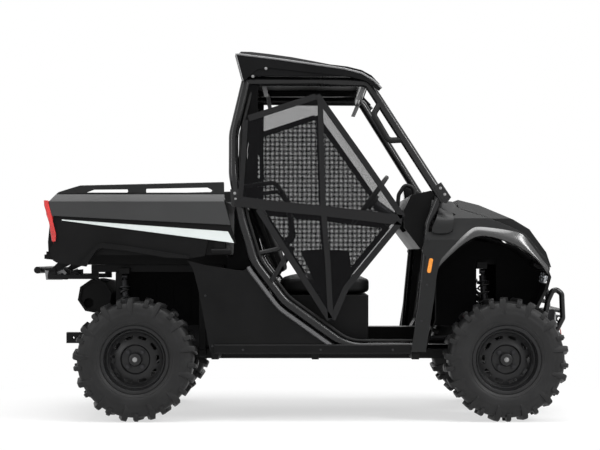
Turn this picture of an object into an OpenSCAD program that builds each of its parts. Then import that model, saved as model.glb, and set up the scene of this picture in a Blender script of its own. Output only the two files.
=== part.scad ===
// Side-by-side utility vehicle with a roll cage, side nets and a tipping cargo bed.
// X points forward, Y to the vehicle's left and Z up. The ground is at Z = 0.

/* [Wheels] */
// Distance between the front and rear axles
wheelbase = 2060; // [2000:10:2150]
// Radius of a tyre over the tips of its lugs
tyre_r = 345; // [335:1:350]
// Width of a tyre over its sidewalls
tyre_w = 226; // [210:2:236]
// Radius of the rim's bead seat
rim_r = 178; // [172:1:182]
// Number of lugs round one side of a tyre
lug_count = 13; // [11:1:15]
// Height of a lug above the tyre's carcass
lug_h = 22; // [14:1:26]
// Sideways distance from the middle of the vehicle to the middle of a tyre
wheel_y = 665; // [655:5:685]
// Radius of a wheel spindle
spindle_r = 16; // [14:1:18]

/* [Cab] */
// Radius of the roll cage's tubes
cage_r = 27; // [22:1:28]
// Half width of the cage at the doors
cage_y = 700; // [690:2:704]
// Half width of the cage under the roof
roof_rail_y = 620; // [600:5:640]
// Height of the roof rails
roof_rail_z = 1900; // [1880:5:1920]
// Diameter of the steering wheel
steering_wheel_d = 375; // [350:5:380]
// Width of one seat
seat_w = 520; // [480:5:540]

/* [Cargo bed] */
// Height of the bed's floor
bed_floor_z = 905; // [900:1:912]
// Thickness of the bed's floor and walls
bed_wall = 20; // [16:1:24]
// Half width of the bed over its side panels
bed_y = 720; // [710:2:730]
// Radius of the rails on top of the bed's sides
bed_rail_t = 14; // [10:1:18]

/* [Frame] */
// Half distance between the two main rails
rail_y = 250; // [240:2:260]
// Width of a main rail
rail_w = 50; // [44:2:56]
// Height of the main rails' underside
rail_z = 330; // [325:1:335]
// Radius of the front guard's tubes
guard_r = 16; // [13:1:19]

/* [Hidden] */
$fn = 40;

seat_gap = 0.3;
run_gap = 0.07;
hub_z = tyre_r;
rear_x = -929;
rear_end = rear_x - 622;
front_x = rear_x + wheelbase;
rail_h = 50;
rail_top = rail_z + rail_h;
kingpin_y = wheel_y - 75;
arm_low_z = hub_z - 77;
arm_high_z = hub_z + 77;
steer_arm = 100;
rack_z = hub_z + 55;
drive_z = hub_z + 77;
rack_r = 9;
bed_pivot = [rear_x - 517, 833];
gate_pivot = [rear_x - 502, 916];
hood_pivot = [front_x - 272, 1196];
column_tilt = 36;
steering_centre = [front_x - 718, 350, 1262];
net_t = 6;
skin = 22;

function unit(v) = v / norm(v);
// A path in X and Z moved sideways by d, to its right as it runs
function beside(p, d) = [for (i = [0:len(p) - 1]) let (
  a = unit(p[min(i + 1, len(p) - 1)] - p[max(i - 1, 0)])) p[i] + d * [a[1], -a[0]]];
function rear(p) = [for (q = p) [q[0] + rear_x, q[1]]];
function fore(p) = [for (q = p) [q[0] + front_x, q[1]]];

// A round bar from p to q
module rod(p, q, r) {
  d = q - p;
  translate(p) rotate([0, acos(d[2] / norm(d)), atan2(d[1], d[0])]) cylinder(h = norm(d), r = r);
}

// One bend of a tube: the tube turns from direction d1 to d2 round the corner p
module tube_bend(p, d1, d2, r, bend) {
  turn = acos(max(-1, min(1, d1 * d2)));
  n = unit(cross(d1, d2));
  x = cross(d1, n);
  c = p - d1 * bend * tan(turn / 2) - x * bend;
  multmatrix([[x[0], d1[0], n[0], c[0]], [x[1], d1[1], n[1], c[1]], [x[2], d1[2], n[2], c[2]], [0, 0, 0, 1]])
    rotate_extrude(angle = turn) translate([bend, 0]) circle(r = r);
}

// A tube through the points of a path, with its corners bent to a radius
module bent_tube(path, r, bend) {
  step = 0.15;
  lap = 3;
  last = len(path) - 1;
  dirs = [for (i = [0:last - 1]) unit(path[i + 1] - path[i])];
  cut = [for (i = [0:last]) i == 0 || i == last ? 0 : bend * tan(acos(min(1, dirs[i - 1] * dirs[i])) / 2)];
  for (i = [0:last - 1])
    rod(path[i] + dirs[i] * (i == 0 ? 0 : cut[i] - lap),
        path[i + 1] - dirs[i] * (i == last - 1 ? 0 : cut[i + 1] - lap), r - step);
  for (i = [1:1:last - 1]) tube_bend(path[i], dirs[i - 1], dirs[i], r, bend);
}

// Faces of a closed sleeve over n + 1 rings of points
function sleeve(n, sides) = concat(
  [for (i = [0:n - 1], j = [0:sides - 1], h = [0, 1]) let (k = (j + 1) % sides, p = i * sides, q = p + sides)
    h == 0 ? [p + j, p + k, q + k] : [p + j, q + k, q + j]],
  [[for (j = [sides - 1:-1:0]) j], [for (j = [0:sides - 1]) n * sides + j]]);

// An outline in X and Z, as a plate from y to y + t
module side_plate(outline, y, t) {
  translate([0, y + t, 0]) rotate([90, 0, 0]) linear_extrude(t) polygon(outline);
}

// An outline in Y and Z, as a plate from x to x + t
module cross_plate(outline, x, t) {
  translate([x, 0, 0]) rotate([90, 0, 90]) linear_extrude(t) polygon(outline);
}

// A box between two corners
module box(a, b) {
  translate(a) cube(b - a);
}

module both_sides() {
  children();
  mirror([0, 1, 0]) children();
}

// A disc or ring along Y, from y to y + h
module y_cylinder(x, y, z, r, h) {
  translate([x, y + h, z]) rotate([90, 0, 0]) cylinder(h = h, r = r);
}

module x_cylinder(x, y, z, r, h) {
  translate([x, y, z]) rotate([0, 90, 0]) cylinder(h = h, r = r);
}

// Structure
// The frame is welded up from straight members, which meet face to face

tower_x = [rear_x - 131, rear_x + 350, front_x - 150, front_x + 150];
half_m = 20;
bed_rail_y = 330;
bed_rail_top = bed_floor_z - 36;
bearer_z = bed_rail_top - 43;
tail_z = 786;
tail_top = tail_z + 26;
tower_top = 870;
half_t = 18;
sill_y = 650;
sill_top = rail_top + 52;
out_x = [rear_x + 440, rear_x + 1000, front_x - 500];
link_x = rear_x - 271;
rack_x = front_x + steer_arm;
rail_in = rail_y - rail_w / 2;
rail_out = rail_y + rail_w / 2;
upper_dx = [-10, 60];
arm_bar_y = rail_y + 4;
arm_bar_h = 10;

// A bar along X, with a section of 2 * h by the height from low to top
module long_bar(x, y, h, low, top) {
  box([x[0], -y - h, low], [x[1], -y + h, top]);
}
// A post with a square foot
module post(x, y, h, low, top) {
  long_bar([x - h, x + h], y, h, low, top);
}
// A bar across, from y[0] to y[1]
module cross_bar(x, h, y, low, top) {
  box([x - h, y[0], low], [x + h, y[1], top]);
}

// Members along the vehicle: main rails, sills, the bed's bearers, tail rails and the front tower's top rails
module frame() {
  color([0.05, 0.05, 0.055]) both_sides() {
    long_bar([rear_x - 330, front_x + 230], rail_y, rail_w / 2, rail_z, rail_top);
    long_bar([out_x[0] - half_m, out_x[2] + half_m], sill_y, half_m, rail_top, sill_top);
    long_bar([link_x - half_m, rear_x + 470], bed_rail_y, half_m, bearer_z, bed_rail_top - seat_gap);
    long_bar([bed_pivot[0] - 26, link_x + half_m], bed_rail_y, half_m, tail_z, tail_top);
    long_bar([tower_x[2] - half_t, tower_x[3] + half_t], rail_y, half_t, tower_top, tower_top + 35);
    // Bars that carry the upper arms' ears
    for (x = [rear_x, front_x])
      long_bar([x - 99, x + upper_dx[1] + 30], arm_bar_y, arm_bar_h, hub_z + 125, hub_z + 160);
  }
}

module cross_members() {
  color([0.05, 0.05, 0.055]) {
    // Between the main rails and out to the sills
    for (x = out_x) cross_bar(x, half_m, [-rail_in, rail_in], rail_top - 38, rail_top);
    both_sides() for (x = out_x) cross_bar(x, half_m, [-sill_y - half_m, -rail_out], rail_top - 38, rail_top);
    for (x = [rear_x - 290, front_x + 210]) cross_bar(x, half_m, [-rail_in, rail_in], rail_z + 5, rail_top - 5);
    // Below the rear towers
    cross_bar(tower_x[0], half_m, [-bed_rail_y - half_m, bed_rail_y + half_m], rail_top, rail_top + 30);
    cross_bar(tower_x[1], half_m, [-rail_in, rail_in], rail_top - 40, rail_top);
    both_sides() cross_bar(tower_x[1], half_m, [-bed_rail_y - half_m, -rail_out], rail_top - 40, rail_top);
    // Between the towers' tops and the tail rails
    cross_bar(tower_x[1], half_m, [half_m - bed_rail_y, bed_rail_y - half_m], bearer_z - 40, bearer_z);
    cross_bar(rear_x - 400, half_m, [half_m - bed_rail_y, bed_rail_y - half_m], tail_z, tail_top);
    for (x = [tower_x[2], tower_x[3]])
      cross_bar(x, half_t, [half_t - rail_y, rail_y - half_t], tower_top, tower_top + 30);
    // Below the steering rack
    cross_bar(rack_x, half_m, [-rail_in, rail_in], rail_top - 30, rail_top - 12);
  }
}

module frame_posts() {
  color([0.05, 0.05, 0.055]) {
    both_sides() {
      post(tower_x[0], bed_rail_y, half_m, rail_top + 30, bearer_z);
      post(tower_x[1], bed_rail_y, half_m, rail_top, bearer_z);
      post(link_x, bed_rail_y, half_m, tail_top, bearer_z);
      for (x = [tower_x[2], tower_x[3]]) post(x, rail_y, half_t, rail_top, tower_top);
      for (x = [rear_x, front_x], dx = [-85, upper_dx[1]])
        long_bar([x + dx - 14, x + dx + 14], arm_bar_y, arm_bar_h, rail_top, hub_z + 125);
      // Ears that hold the bed's hinge pin
      for (y = [-bed_rail_y - 18, -bed_rail_y + 8])
        difference() {
          side_plate([[bed_pivot[0] - 26, tail_top], [bed_pivot[0] + 26, tail_top],
                      [bed_pivot[0] + 16, bed_pivot[1] + 18], [bed_pivot[0] - 16, bed_pivot[1] + 18]], y, 10);
          y_cylinder(bed_pivot[0], y - 1, bed_pivot[1], 10, 12);
        }
    }
    // Housing that guides the steering rack
    difference() {
      cross_bar(rack_x, half_m, [-130, 130], rail_top - 12, rack_z + 18);
      y_cylinder(rack_x, -131, rack_z, rack_r + run_gap, 262);
    }
  }
}

// Ears for the arms' inner pivots, and brackets at the tops of the shocks
module suspension_ears(x) {
  for (dx = [-140, 140], e = [-36, 28])
    box([x + dx + e, -rail_out - 30, rail_z + 5], [x + dx + e + 8, -rail_out, rail_top - 2]);
  for (dx = upper_dx, e = [-28, 20])
    box([x + dx + e, -rail_out - 30, hub_z + 115], [x + dx + e + 8, -arm_bar_y - arm_bar_h, hub_z + 155]);
}
module arm_mounts() {
  color([0.05, 0.05, 0.055]) both_sides() {
    for (x = [rear_x, front_x]) suspension_ears(x);
    box([front_x - 125, -345, 845], [front_x - 65, -rail_y - half_t, tower_top + 15]);
    box([rear_x - 125, -400, bearer_z - 9], [rear_x - 65, -bed_rail_y - half_m, bearer_z + 24]);
  }
}

tunnel_w = 72;
module floor() {
  color([0.06, 0.06, 0.065]) {
    difference() {
      union() {
        box([rear_x + 485, -630 + seat_gap, rail_top + seat_gap], [front_x - 440, 630 - seat_gap, rail_top + 8]);
        box([front_x - 760, -tunnel_w, rail_top + seat_gap], [front_x - 388, tunnel_w, rail_top + 120]);
        // Toe board rising to the dash
        side_plate(fore([[-448, 382], [-440, 382], [-380, 560], [-380, 800], [-388, 800], [-388, 562]]), -600, 1200);
      }
      box([rear_x + 480, -tunnel_w + 8, rail_top - 10], [front_x - 370, tunnel_w - 8, rail_top + 112]);
    }
    // Skid plate under the rails
    box([rear_x - 200, -rail_y - 20, rail_z - 5 - seat_gap], [front_x + 180, rail_y + 20, rail_z - seat_gap]);
  }
}

// Roll cage

roof_rear = [rear_x + 609, roof_rail_z];
roof_front = [front_x - 768, roof_rail_z - 6];
pillar_top = [roof_front[0], -roof_rail_y, roof_front[1]];
pillar_low = [front_x - 343, -cage_y + 4, 1224];
leg_top = [front_x - 372, -cage_y + 12, 1240];
leg_low = [front_x - 430, -cage_y + 16, 1100];

sill_tube_z = 413;
// Centre line of the tube round the door, from the roof down to the sill
door_curve = [[rear_x + 545, 1370], [rear_x + 592, 1120], [rear_x + 665, 880], [rear_x + 830, 665],
              [front_x - 880, sill_tube_z], [out_x[2] + 40, sill_tube_z]];
module cab_cage() {
  color([0.03, 0.03, 0.033]) {
    both_sides() {
      // Rear pillar, door curve and sill tube
      bent_tube(concat([[rear_x + 612, -roof_rail_y, roof_rail_z - 4], [rear_x + 544, -roof_rail_y - 42, 1600]],
        [for (p = door_curve) [p[0], -cage_y, p[1]]]), cage_r, 240);
      // Roof rail and front pillar
      bent_tube([
        [roof_rear[0] - 20, -roof_rail_y, roof_rail_z], [roof_front[0], -roof_rail_y, roof_front[1]],
        pillar_low], cage_r - 1, 60);
      // Front leg behind the fender, down to the sill tube
      bent_tube([
        leg_top, leg_low,
        [front_x - 470, -cage_y + 16, 700], [front_x - 495, -cage_y + 4, sill_tube_z]], cage_r - 7, 120);
    }
    // Cross tubes
    for (p = [[roof_rear[0] + 4, roof_rail_z - 2, roof_rail_y], [roof_front[0] - 20, roof_front[1], roof_rail_y],
              [rear_x + 572, 1225, cage_y - 4], [front_x - 372, 1245, cage_y - 4], [rear_x + 760, 760, cage_y]])
      rod([p[0], -p[2], p[1]], [p[0], p[2], p[1]], cage_r - 3);
    // Feet on the outriggers
    both_sides() for (x = [front_x - 820, out_x[2]])
      box([x - 28, -cage_y, 402], [x + 28, -sill_y - 20 - seat_gap, 424]);
  }
}

// Roof panel, thick at the edges and hollow below

roof_half_w = 668;
roof_side = [[570, 2055], [583, 2068], [640, 2066], [745, 2053], [870, 2034], [980, 2012], [1085, 1990]];
module roof_form(y) {
  top = concat(rear(roof_side), fore([[-880, 1978], [-800, 1958], [-745, 1928], [-700, 1880]]));
  low = concat(fore([[-735, 1872], [-800, 1905], [-900, 1925]]), rear([[640, 1925], [600, 1908]]));
  intersection() {
    side_plate(concat(top, low), -y, 2 * y);
    cross_plate([[-y, 1800], [-y, 1985], [-y + 60, 2075], [y - 60, 2075], [y, 1985], [y, 1800]],
                rear_x + 500, wheelbase);
  }
}
module roof() {
  color([0.04, 0.04, 0.045])
    difference() {
      roof_form(roof_half_w);
      box([rear_x + 650, -590, 1800], [front_x - 770, 590, 1955]);
      // Channels over the cage's rails
      both_sides()
        box([rear_x + 500, -roof_rail_y - 40, 1700], [front_x - 600, -roof_rail_y + 40, roof_rail_z + cage_r - 1 + seat_gap]);
      box([rear_x + 500, -roof_rail_y, 1700], [rear_x + 655, roof_rail_y, roof_rail_z + cage_r - 1 + seat_gap]);
      box([front_x - 860, -roof_rail_y, 1700], [front_x - 690, roof_rail_y, roof_rail_z + cage_r - 1 + seat_gap]);
    }
}

// Side body behind the door and under it

panel_gap = cage_r + 5;
module side_panels() {
  curve = [for (p = door_curve) if (p[0] > rear_x + 600 && p[0] < front_x - 870) p];
  outline = concat(
    rear([[289, 895], [304, 890], [396, 868], [540, 845], [598, 838]]),
    beside(curve, panel_gap),
    fore([[-800, 384], [-780, 376], [-530, 376]]),
    rear([[440, 376], [415, 386], [351, 731], [320, 850]]));
  color([0.09, 0.09, 0.095]) both_sides() {
    difference() {
      side_plate(outline, -bed_y - 4, 24);
      side_plate(rear([[470, 440], [440, 600], [420, 760], [540, 740], [620, 620], [760, 480], [780, 440]]), -bed_y + 8, 30);
    }
    // Sill cover
    cross_plate([[-690, 376], [-731, 376], [-740, 386], [-740, 424], [-731, 431], [-cage_y - cage_r - 2, 428],
                 [-cage_y - cage_r - 2, sill_tube_z - cage_r - seat_gap], [-690, sill_tube_z - cage_r - seat_gap]],
                rear_x + 440, front_x - 530 - rear_x - 440);
  }
}

// Front fenders

fender_side = fore([
  [-529.7, 388], [-448, 909], [-467, 945], [-436, 1094], [-405, 1236], [-294, 1225], [-269, 1196], [-244, 1180],
  [-109, 1137], [28, 1081], [107, 1038], [213, 909], [240, 853], [232, 809], [219, 853], [152, 914], [59, 976],
  [-47, 1014], [-133, 1038], [-170, 1032], [-257, 976], [-356, 883], [-380, 848], [-387, 815], [-405, 661],
  [-448, 388]]);
function front_view(t) = [[-746 + t, 300], [-746 + t, 1010], [-700 + t, 1130], [-600 + t, 1262 - t], [-500, 1262 - t], [-500, 300]];
module front_fenders() {
  color([0.12, 0.12, 0.125]) both_sides() {
    difference() {
      intersection() {
        side_plate(fender_side, -760, 160);
        cross_plate(front_view(0), front_x - 600, 1000);
      }
      intersection() {
        side_plate(fore([[-500, 380], [-420, 909], [-440, 945], [-410, 1094], [-380, 1205], [-300, 1200], [-120, 1108],
                         [15, 1055], [90, 1012], [195, 890], [222, 760], [500, 700], [400, 300], [-300, 300]]), -780, 200);
        cross_plate(front_view(skin), front_x - 600, 1000);
      }
      // Room for the cage's front leg and pillar
      box([front_x - 560, -cage_y - cage_r - 2, 300], [front_x - 300, -500, 1150]);
      rod(pillar_top, pillar_low + (pillar_low - pillar_top) * 0.12, cage_r + seat_gap);
      rod(leg_top, leg_low, cage_r - 2);
      y_cylinder(front_x - 372, -cage_y, 1245, cage_r - 3 + seat_gap, 200);
    }
  }
}

module inner_wells() {
  outer = fore([[-449, 412], [-402, 800], [-376, 868], [-268, 968], [-172, 1024], [-130, 1030], [-44, 1006], [60, 968],
                [150, 906]]);
  inner = fore([[144, 900], [58, 962], [-46, 1000], [-130, 1024], [-168, 1018], [-262, 962], [-369, 864],
                [-394, 798], [-441, 412]]);
  color([0.03, 0.03, 0.03]) both_sides() side_plate(concat(outer, inner), -746 + skin + seat_gap, 336);
}

// Nose below the hood, with its grille

nose_y = 600 - seat_gap;
module front_fascia() {
  color([0.05, 0.05, 0.055])
    difference() {
      side_plate(fore([[168 + seat_gap, 882], [250, 850], [268, 800], [240, 700], [212, 600], [190, 560], [180, 566],
                       [200, 640], [226, 720], [250, 800], [240, 832], [168 + seat_gap, 862]]), -nose_y, 2 * nose_y);
      for (i = [0:4])
        box([front_x + 100, -300, 660 + i * 32], [front_x + 300, 300, 676 + i * 32]);
      both_sides() cross_plate([[-700, 500], [-700, 760], [-640, 760], [-420, 600], [-420, 500]], front_x + 100, 300);
      both_sides() box([front_x + 100, -lamp_y[0], 765], [front_x + 300, -lamp_y[1], 828]);
    }
}

lamp_y = [590, 380];
module headlamps() {
  color([0.85, 0.87, 0.9]) both_sides()
    side_plate(fore([[225, 766], [236, 768], [258, 812], [250, 826], [236, 826]]),
               -lamp_y[0] + seat_gap, lamp_y[0] - lamp_y[1] - 2 * seat_gap);
}

module side_markers() {
  color([0.95, 0.5, 0.05]) both_sides()
    translate([front_x - 425, -746 - seat_gap, 867]) rotate([90, 0, 0]) rotate([0, 0, -10]) {
      for (z = [-30, 30]) translate([0, z, 0]) cylinder(h = 5, r = 11);
      translate([-11, -30, 0]) cube([22, 60, 5]);
    }
}

// Cab inside

module dash() {
  color([0.05, 0.05, 0.055])
    difference() {
      side_plate(fore([[-560, 1180], [-520, 1262], [-410, 1288], [-290, 1214], [-300, 1190], [-400, 1190],
                       [-402, 980], [-470, 960], [-560, 1080]]), -nose_y, 2 * nose_y);
      // Open tray in front of the passenger
      side_plate(fore([[-600, 1120], [-600, 1170], [-480, 1170], [-480, 1060], [-600, 1060]]), -560, 420);
      y_cylinder(front_x - 372, -cage_y, 1245, cage_r - 3 + seat_gap, 2 * cage_y);
      translate(steering_centre) rotate([0, 90 + column_tilt, 0]) cylinder(h = 480, r = 30 + seat_gap);
    }
  // Hinge ears for the hood
  color([0.05, 0.05, 0.055]) both_sides() for (y = [-530, -506]) {
    side_plate([[hood_pivot[0] - 34, hood_pivot[1] - 4], [hood_pivot[0] + 8, hood_pivot[1] - 9], [hood_pivot[0] + 8, hood_pivot[1] + 9],
                [hood_pivot[0] - 34, hood_pivot[1] + 22]], y, 6);
    y_cylinder(hood_pivot[0], -526, hood_pivot[1], 6, 22);
  }
}

column_axis = [-cos(column_tilt), 0, sin(column_tilt)];
// Thin shaft from the column, over the front differential, down to the rack
shaft_path = [steering_centre - column_axis * 450, [front_x + 91, 30, 520], [rack_x - 5, 30, rack_z + 18 + seat_gap]];
module steering_column() {
  color([0.06, 0.06, 0.06])
    difference() {
      translate(steering_centre) rotate([0, 90 + column_tilt, 0]) translate([0, 0, 40]) cylinder(h = 420, r = 30);
      translate(steering_centre) rotate([0, 90 + column_tilt, 0]) cylinder(h = 120, r = 12);
    }
  color([0.06, 0.06, 0.06])
    for (i = [0:1]) rod(shaft_path[i], shaft_path[i + 1], 9);
  color([0.06, 0.06, 0.06]) translate(shaft_path[1]) sphere(r = 13);
}

module steering_wheel() {
  color([0.05, 0.05, 0.05])
    translate(steering_centre) rotate([0, 90 + column_tilt, 0]) {
      rotate_extrude() translate([steering_wheel_d / 2 - 14, 0]) circle(r = 14);
      translate([0, 0, 4]) cylinder(h = 30, r = 52);
      translate([0, 0, 30]) cylinder(h = 80, r = 12 - run_gap);
      for (a = [0, 120, 240]) rotate([0, 0, a]) translate([30, -14, 6]) cube([steering_wheel_d / 2 - 46, 28, 10]);
    }
}

module controls() {
  color([0.2, 0.2, 0.2]) {
    // Pedals
    for (y = [215, 320]) {
      rod([front_x - 402, y, 700], [front_x - 450, y, 520], 8);
      translate([front_x - 450, y, 520]) rotate([0, 30, 0]) cube([14, 70, 80], center = true);
    }
    box([front_x - 414, 190, 690], [front_x - 388 - seat_gap, 345, 720]);
    // Gear lever in the dash
    x_cylinder(front_x - 606, 60, 1120, 7, 46 - seat_gap);
    translate([front_x - 620, 60, 1120]) sphere(r = 22);
  }
}

seat_y = 290;
seat_front = rear_x + 1300;
module seat_base() {
  color([0.06, 0.06, 0.06])
    difference() {
      box([rear_x + 700, -580, rail_top + 8 + seat_gap], [seat_front, 580, 700]);
      box([rear_x + 690, -520, rail_top - 10], [seat_front - 30, 520, 640]);
      // Room for the drive shaft's tunnel
      box([seat_front - 40, -tunnel_w - seat_gap, rail_top - 10], [seat_front + 10, tunnel_w + seat_gap, rail_top + 121]);
      // Room for the door curve
      box([rear_x + 600, -700, 740], [rear_x + 800, 700, 790]);
    }
}

module seat_cushions() {
  color([0.1, 0.1, 0.1]) both_sides()
    difference() {
      box([rear_x + 800, -seat_y - seat_w / 2, 700 + seat_gap], [seat_front + 20, -seat_y + seat_w / 2, 815]);
      translate([seat_front + 20, -seat_y, 700]) rotate([0, 45, 0]) cube([60, 600, 60], center = true);
    }
}

module seat_backs() {
  color([0.1, 0.1, 0.1]) both_sides()
    side_plate(rear([[795, 815 + 2 * seat_gap], [690, 1040], [612, 1235], [640, 1290], [690, 1288], [755, 1070], [850, 815 + 2 * seat_gap]]),
               -seat_y - seat_w / 2, seat_w);
}

hip_bar_r = 13;
function cage_point(i) = [door_curve[i][0], -cage_y, door_curve[i][1]];
module hip_bars() {
  color([0.03, 0.03, 0.03]) both_sides() difference() {
    bent_tube([[rear_x + 560, -cage_y + 6, 1300], [rear_x + 775, -cage_y + 6, 1330], [rear_x + 845, -cage_y + 6, 1230],
               [rear_x + 870, -cage_y + 6, 1040], [rear_x + 800, -cage_y + 6, 960], [rear_x + 650, -cage_y + 6, 930]],
              hip_bar_r, 45);
    for (i = [0:1]) rod(cage_point(i), cage_point(i + 1), cage_r + seat_gap);
  }
}

module grab_handle() {
  color([0.04, 0.04, 0.04]) difference() {
    bent_tube([[front_x - 690, -roof_rail_y - 16, 1790], [front_x - 735, -cage_y + 44, 1710],
               [front_x - 650, -cage_y + 38, 1565], [front_x - 566, -cage_y + 42, 1569]], 17, 30);
    rod(pillar_top, pillar_low, cage_r - 1 + seat_gap);
  }
}

// Side nets with their webbing, stretched over the door openings

net_y = -cage_y - cage_r - seat_gap - net_t / 2;
net_outline = concat(
  rear([[660, 1699]]),
  fore([[-1050, 1816], [-1006, 1766], [-566, 1142], [-590, 1098], [-895, 731], [-955, 560], [-995, 560]]),
  rear([[681, 1176], [640, 1195], [560, 1200], [548, 1250], [600, 1262], [614, 1677]]));
module side_nets() {
  color([0.15, 0.15, 0.15, 0.6]) both_sides()
    side_plate(net_outline, net_y - net_t / 2, net_t);
}

// Drive train

module engine_block() {
  color([0.3, 0.3, 0.32]) box([rear_x + 80, -190, rail_top + seat_gap], [rear_x + 460, 190, 780]);
}

module radiator() {
  color([0.12, 0.12, 0.12])
    box([front_x + 134, -225, 560], [front_x + 166, 225, 870 - seat_gap]);
}

module final_drives() {
  color([0.25, 0.25, 0.26]) {
    for (x = [rear_x, front_x]) {
      y_cylinder(x, -110, drive_z, 65, 220);
      box([x - 60, -100, rail_z], [x + 60, 100, drive_z]);
    }
    x_cylinder(rear_x + 50, 0, drive_z, 22, 30 - seat_gap);
    x_cylinder(rear_x + 460 + seat_gap, 0, drive_z, 22, front_x - rear_x - 460 - 50);
  }
}

cv_r = 28;
module half_shafts() {
  color([0.2, 0.2, 0.2])
    for (x = [rear_x, front_x]) both_sides() {
      rod([x, -150, drive_z], [x, -kingpin_y, hub_z], 13);
      translate([x, -kingpin_y, hub_z]) sphere(r = cv_r);
      y_cylinder(x, -180, drive_z, 34, 70 - seat_gap);
      translate([x, -220, drive_z - 4]) rotate([-90, 0, 0]) cylinder(h = 41, r1 = 17, r2 = 30);
    }
}

arm_r = 11;
eye_h = 26;
stud_r = 10;
module arm_pair(x) {
  in_y = rail_y + rail_w / 2 + 16;
  // Lower arm
  for (dx = [-140, 140]) {
    x_cylinder(x + dx - 28 + seat_gap, -in_y, rail_z + 25, 13, 56 - 2 * seat_gap);
    rod([x + dx, -in_y, rail_z + 25], [x, -kingpin_y + 18, arm_low_z], arm_r);
  }
  rod([x - 78, -in_y - 130, rail_z - 13], [x + 78, -in_y - 130, rail_z - 13], 9);
  arm_eye(x, arm_low_z);
  // Upper arm
  for (dx = upper_dx) {
    x_cylinder(x + dx - 20 + seat_gap, -in_y, hub_z + 135, 12, 40 - 2 * seat_gap);
    rod([x + dx, -in_y, hub_z + 135], [x, -kingpin_y + 18, arm_high_z], arm_r - 2);
  }
  arm_eye(x, arm_high_z);
}
module arm_eye(x, z) {
  translate([x, -kingpin_y, z - eye_h / 2]) cylinder(h = eye_h, r = 24);
}
module suspension_arms() {
  color([0.04, 0.04, 0.045])
    for (x = [rear_x, front_x]) both_sides()
      difference() {
        arm_pair(x);
        translate([x, -kingpin_y, arm_low_z - 30]) cylinder(h = 60, r = stud_r + run_gap);
        translate([x, -kingpin_y, arm_high_z - 30]) cylinder(h = 60, r = stud_r + run_gap);
      }
}

// Carrier of a wheel, between the arms' eyes, drawn for the right side
spindle_y = wheel_y + 55;
module upright(x) {
  plate_y = kingpin_y + 38;
  low = arm_low_z + eye_h / 2 + seat_gap;
  high = arm_high_z - eye_h / 2 - seat_gap;
  for (z = [[low, low + 20], [high - 20, high]]) {
    box([x - 20, -plate_y, z[0]], [x + 20, -kingpin_y, z[1]]);
    translate([x, -kingpin_y, z[0]]) cylinder(h = 20, r = 22);
  }
  translate([x, -kingpin_y, arm_low_z - eye_h / 2 - 6]) cylinder(h = eye_h + 14, r = stud_r);
  translate([x, -kingpin_y, arm_high_z - eye_h / 2 - 6]) cylinder(h = 34, r = stud_r);
  box([x - 24, -plate_y - 16, low], [x + 24, -plate_y, high]);
  y_cylinder(x, -plate_y - 18, hub_z, 44, 18);
  y_cylinder(x, -spindle_y, hub_z, spindle_r, spindle_y - plate_y - 6);
}

rod_end_h = 11;
module steered_knuckle() {
  plate_y = kingpin_y + 38;
  upright(front_x);
  // Steering arm, with its boss under the tie rod's end
  z = rack_z - rod_end_h - 15;
  box([front_x, -plate_y - 12, z], [front_x + steer_arm, -plate_y, z + 12]);
  box([front_x + steer_arm - 12, -plate_y - 12, z], [front_x + steer_arm + 12, -kingpin_y, z + 12]);
  translate([front_x + steer_arm, -kingpin_y, z]) cylinder(h = 12, r = 15);
}

module rear_uprights() { color([0.3, 0.3, 0.3]) both_sides() upright(rear_x); }
module knuckle_right() { color([0.3, 0.3, 0.3]) steered_knuckle(); }
module knuckle_left() { color([0.3, 0.3, 0.3]) mirror([0, 1, 0]) steered_knuckle(); }

module tie_rods() {
  color([0.35, 0.35, 0.35]) {
    rod([front_x + steer_arm, -kingpin_y, rack_z], [front_x + steer_arm, kingpin_y, rack_z], rack_r);
    both_sides() translate([front_x + steer_arm, -kingpin_y, rack_z - rod_end_h]) cylinder(h = 2 * rod_end_h, r = 14);
  }
}

shock_eye = 15;
shock_list = [[front_x - 95, -325, 845 - shock_eye, front_x - 60, -465, arm_low_z + 62.5],
              [rear_x - 95, -378, bed_rail_top - 52 - shock_eye, rear_x - 60, -465, arm_low_z + 62.5]];
module shock_bodies() {
  color([0.1, 0.1, 0.1]) both_sides() for (s = shock_list) {
    top = [s[0], s[1], s[2] - seat_gap];
    low = [s[3], s[4], s[5]];
    d = unit(low - top);
    rod(top + d * 10, low - d * 10, 9);
    rod(top + d * 24, top + d * 190, 20);
    rod(top + d * 60, top + d * 68, 37);
    rod(low - d * 40, low - d * 32, 37);
    for (e = [top, low]) x_cylinder(e[0] - 15, e[1], e[2], shock_eye, 30);
  }
}

coil_turns = 6;
coil_r = 30;
wire_r = 5;
module coil(h) {
  per_turn = 12;
  sides = 4;
  n = coil_turns * per_turn;
  rise = (h - 2 * wire_r) / n;
  ring = [for (i = [0:n], j = [0:sides - 1]) let (a = 360 * i / per_turn, b = 360 * j / sides, q = coil_r + wire_r * cos(b))
    [q * cos(a), q * sin(a), wire_r + rise * i + wire_r * sin(b)]];
  polyhedron(points = ring, faces = sleeve(n, sides));
}
module shock_springs() {
  color([0.08, 0.08, 0.08]) both_sides() for (s = shock_list) {
    top = [s[0], s[1], s[2] - seat_gap];
    low = [s[3], s[4], s[5]];
    d = unit(low - top);
    a = top + d * (68 + seat_gap);
    b = low - d * (40 + seat_gap);
    translate(a) rotate([0, acos(d[2]), atan2(d[1], d[0])]) coil(norm(b - a));
  }
}

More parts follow.
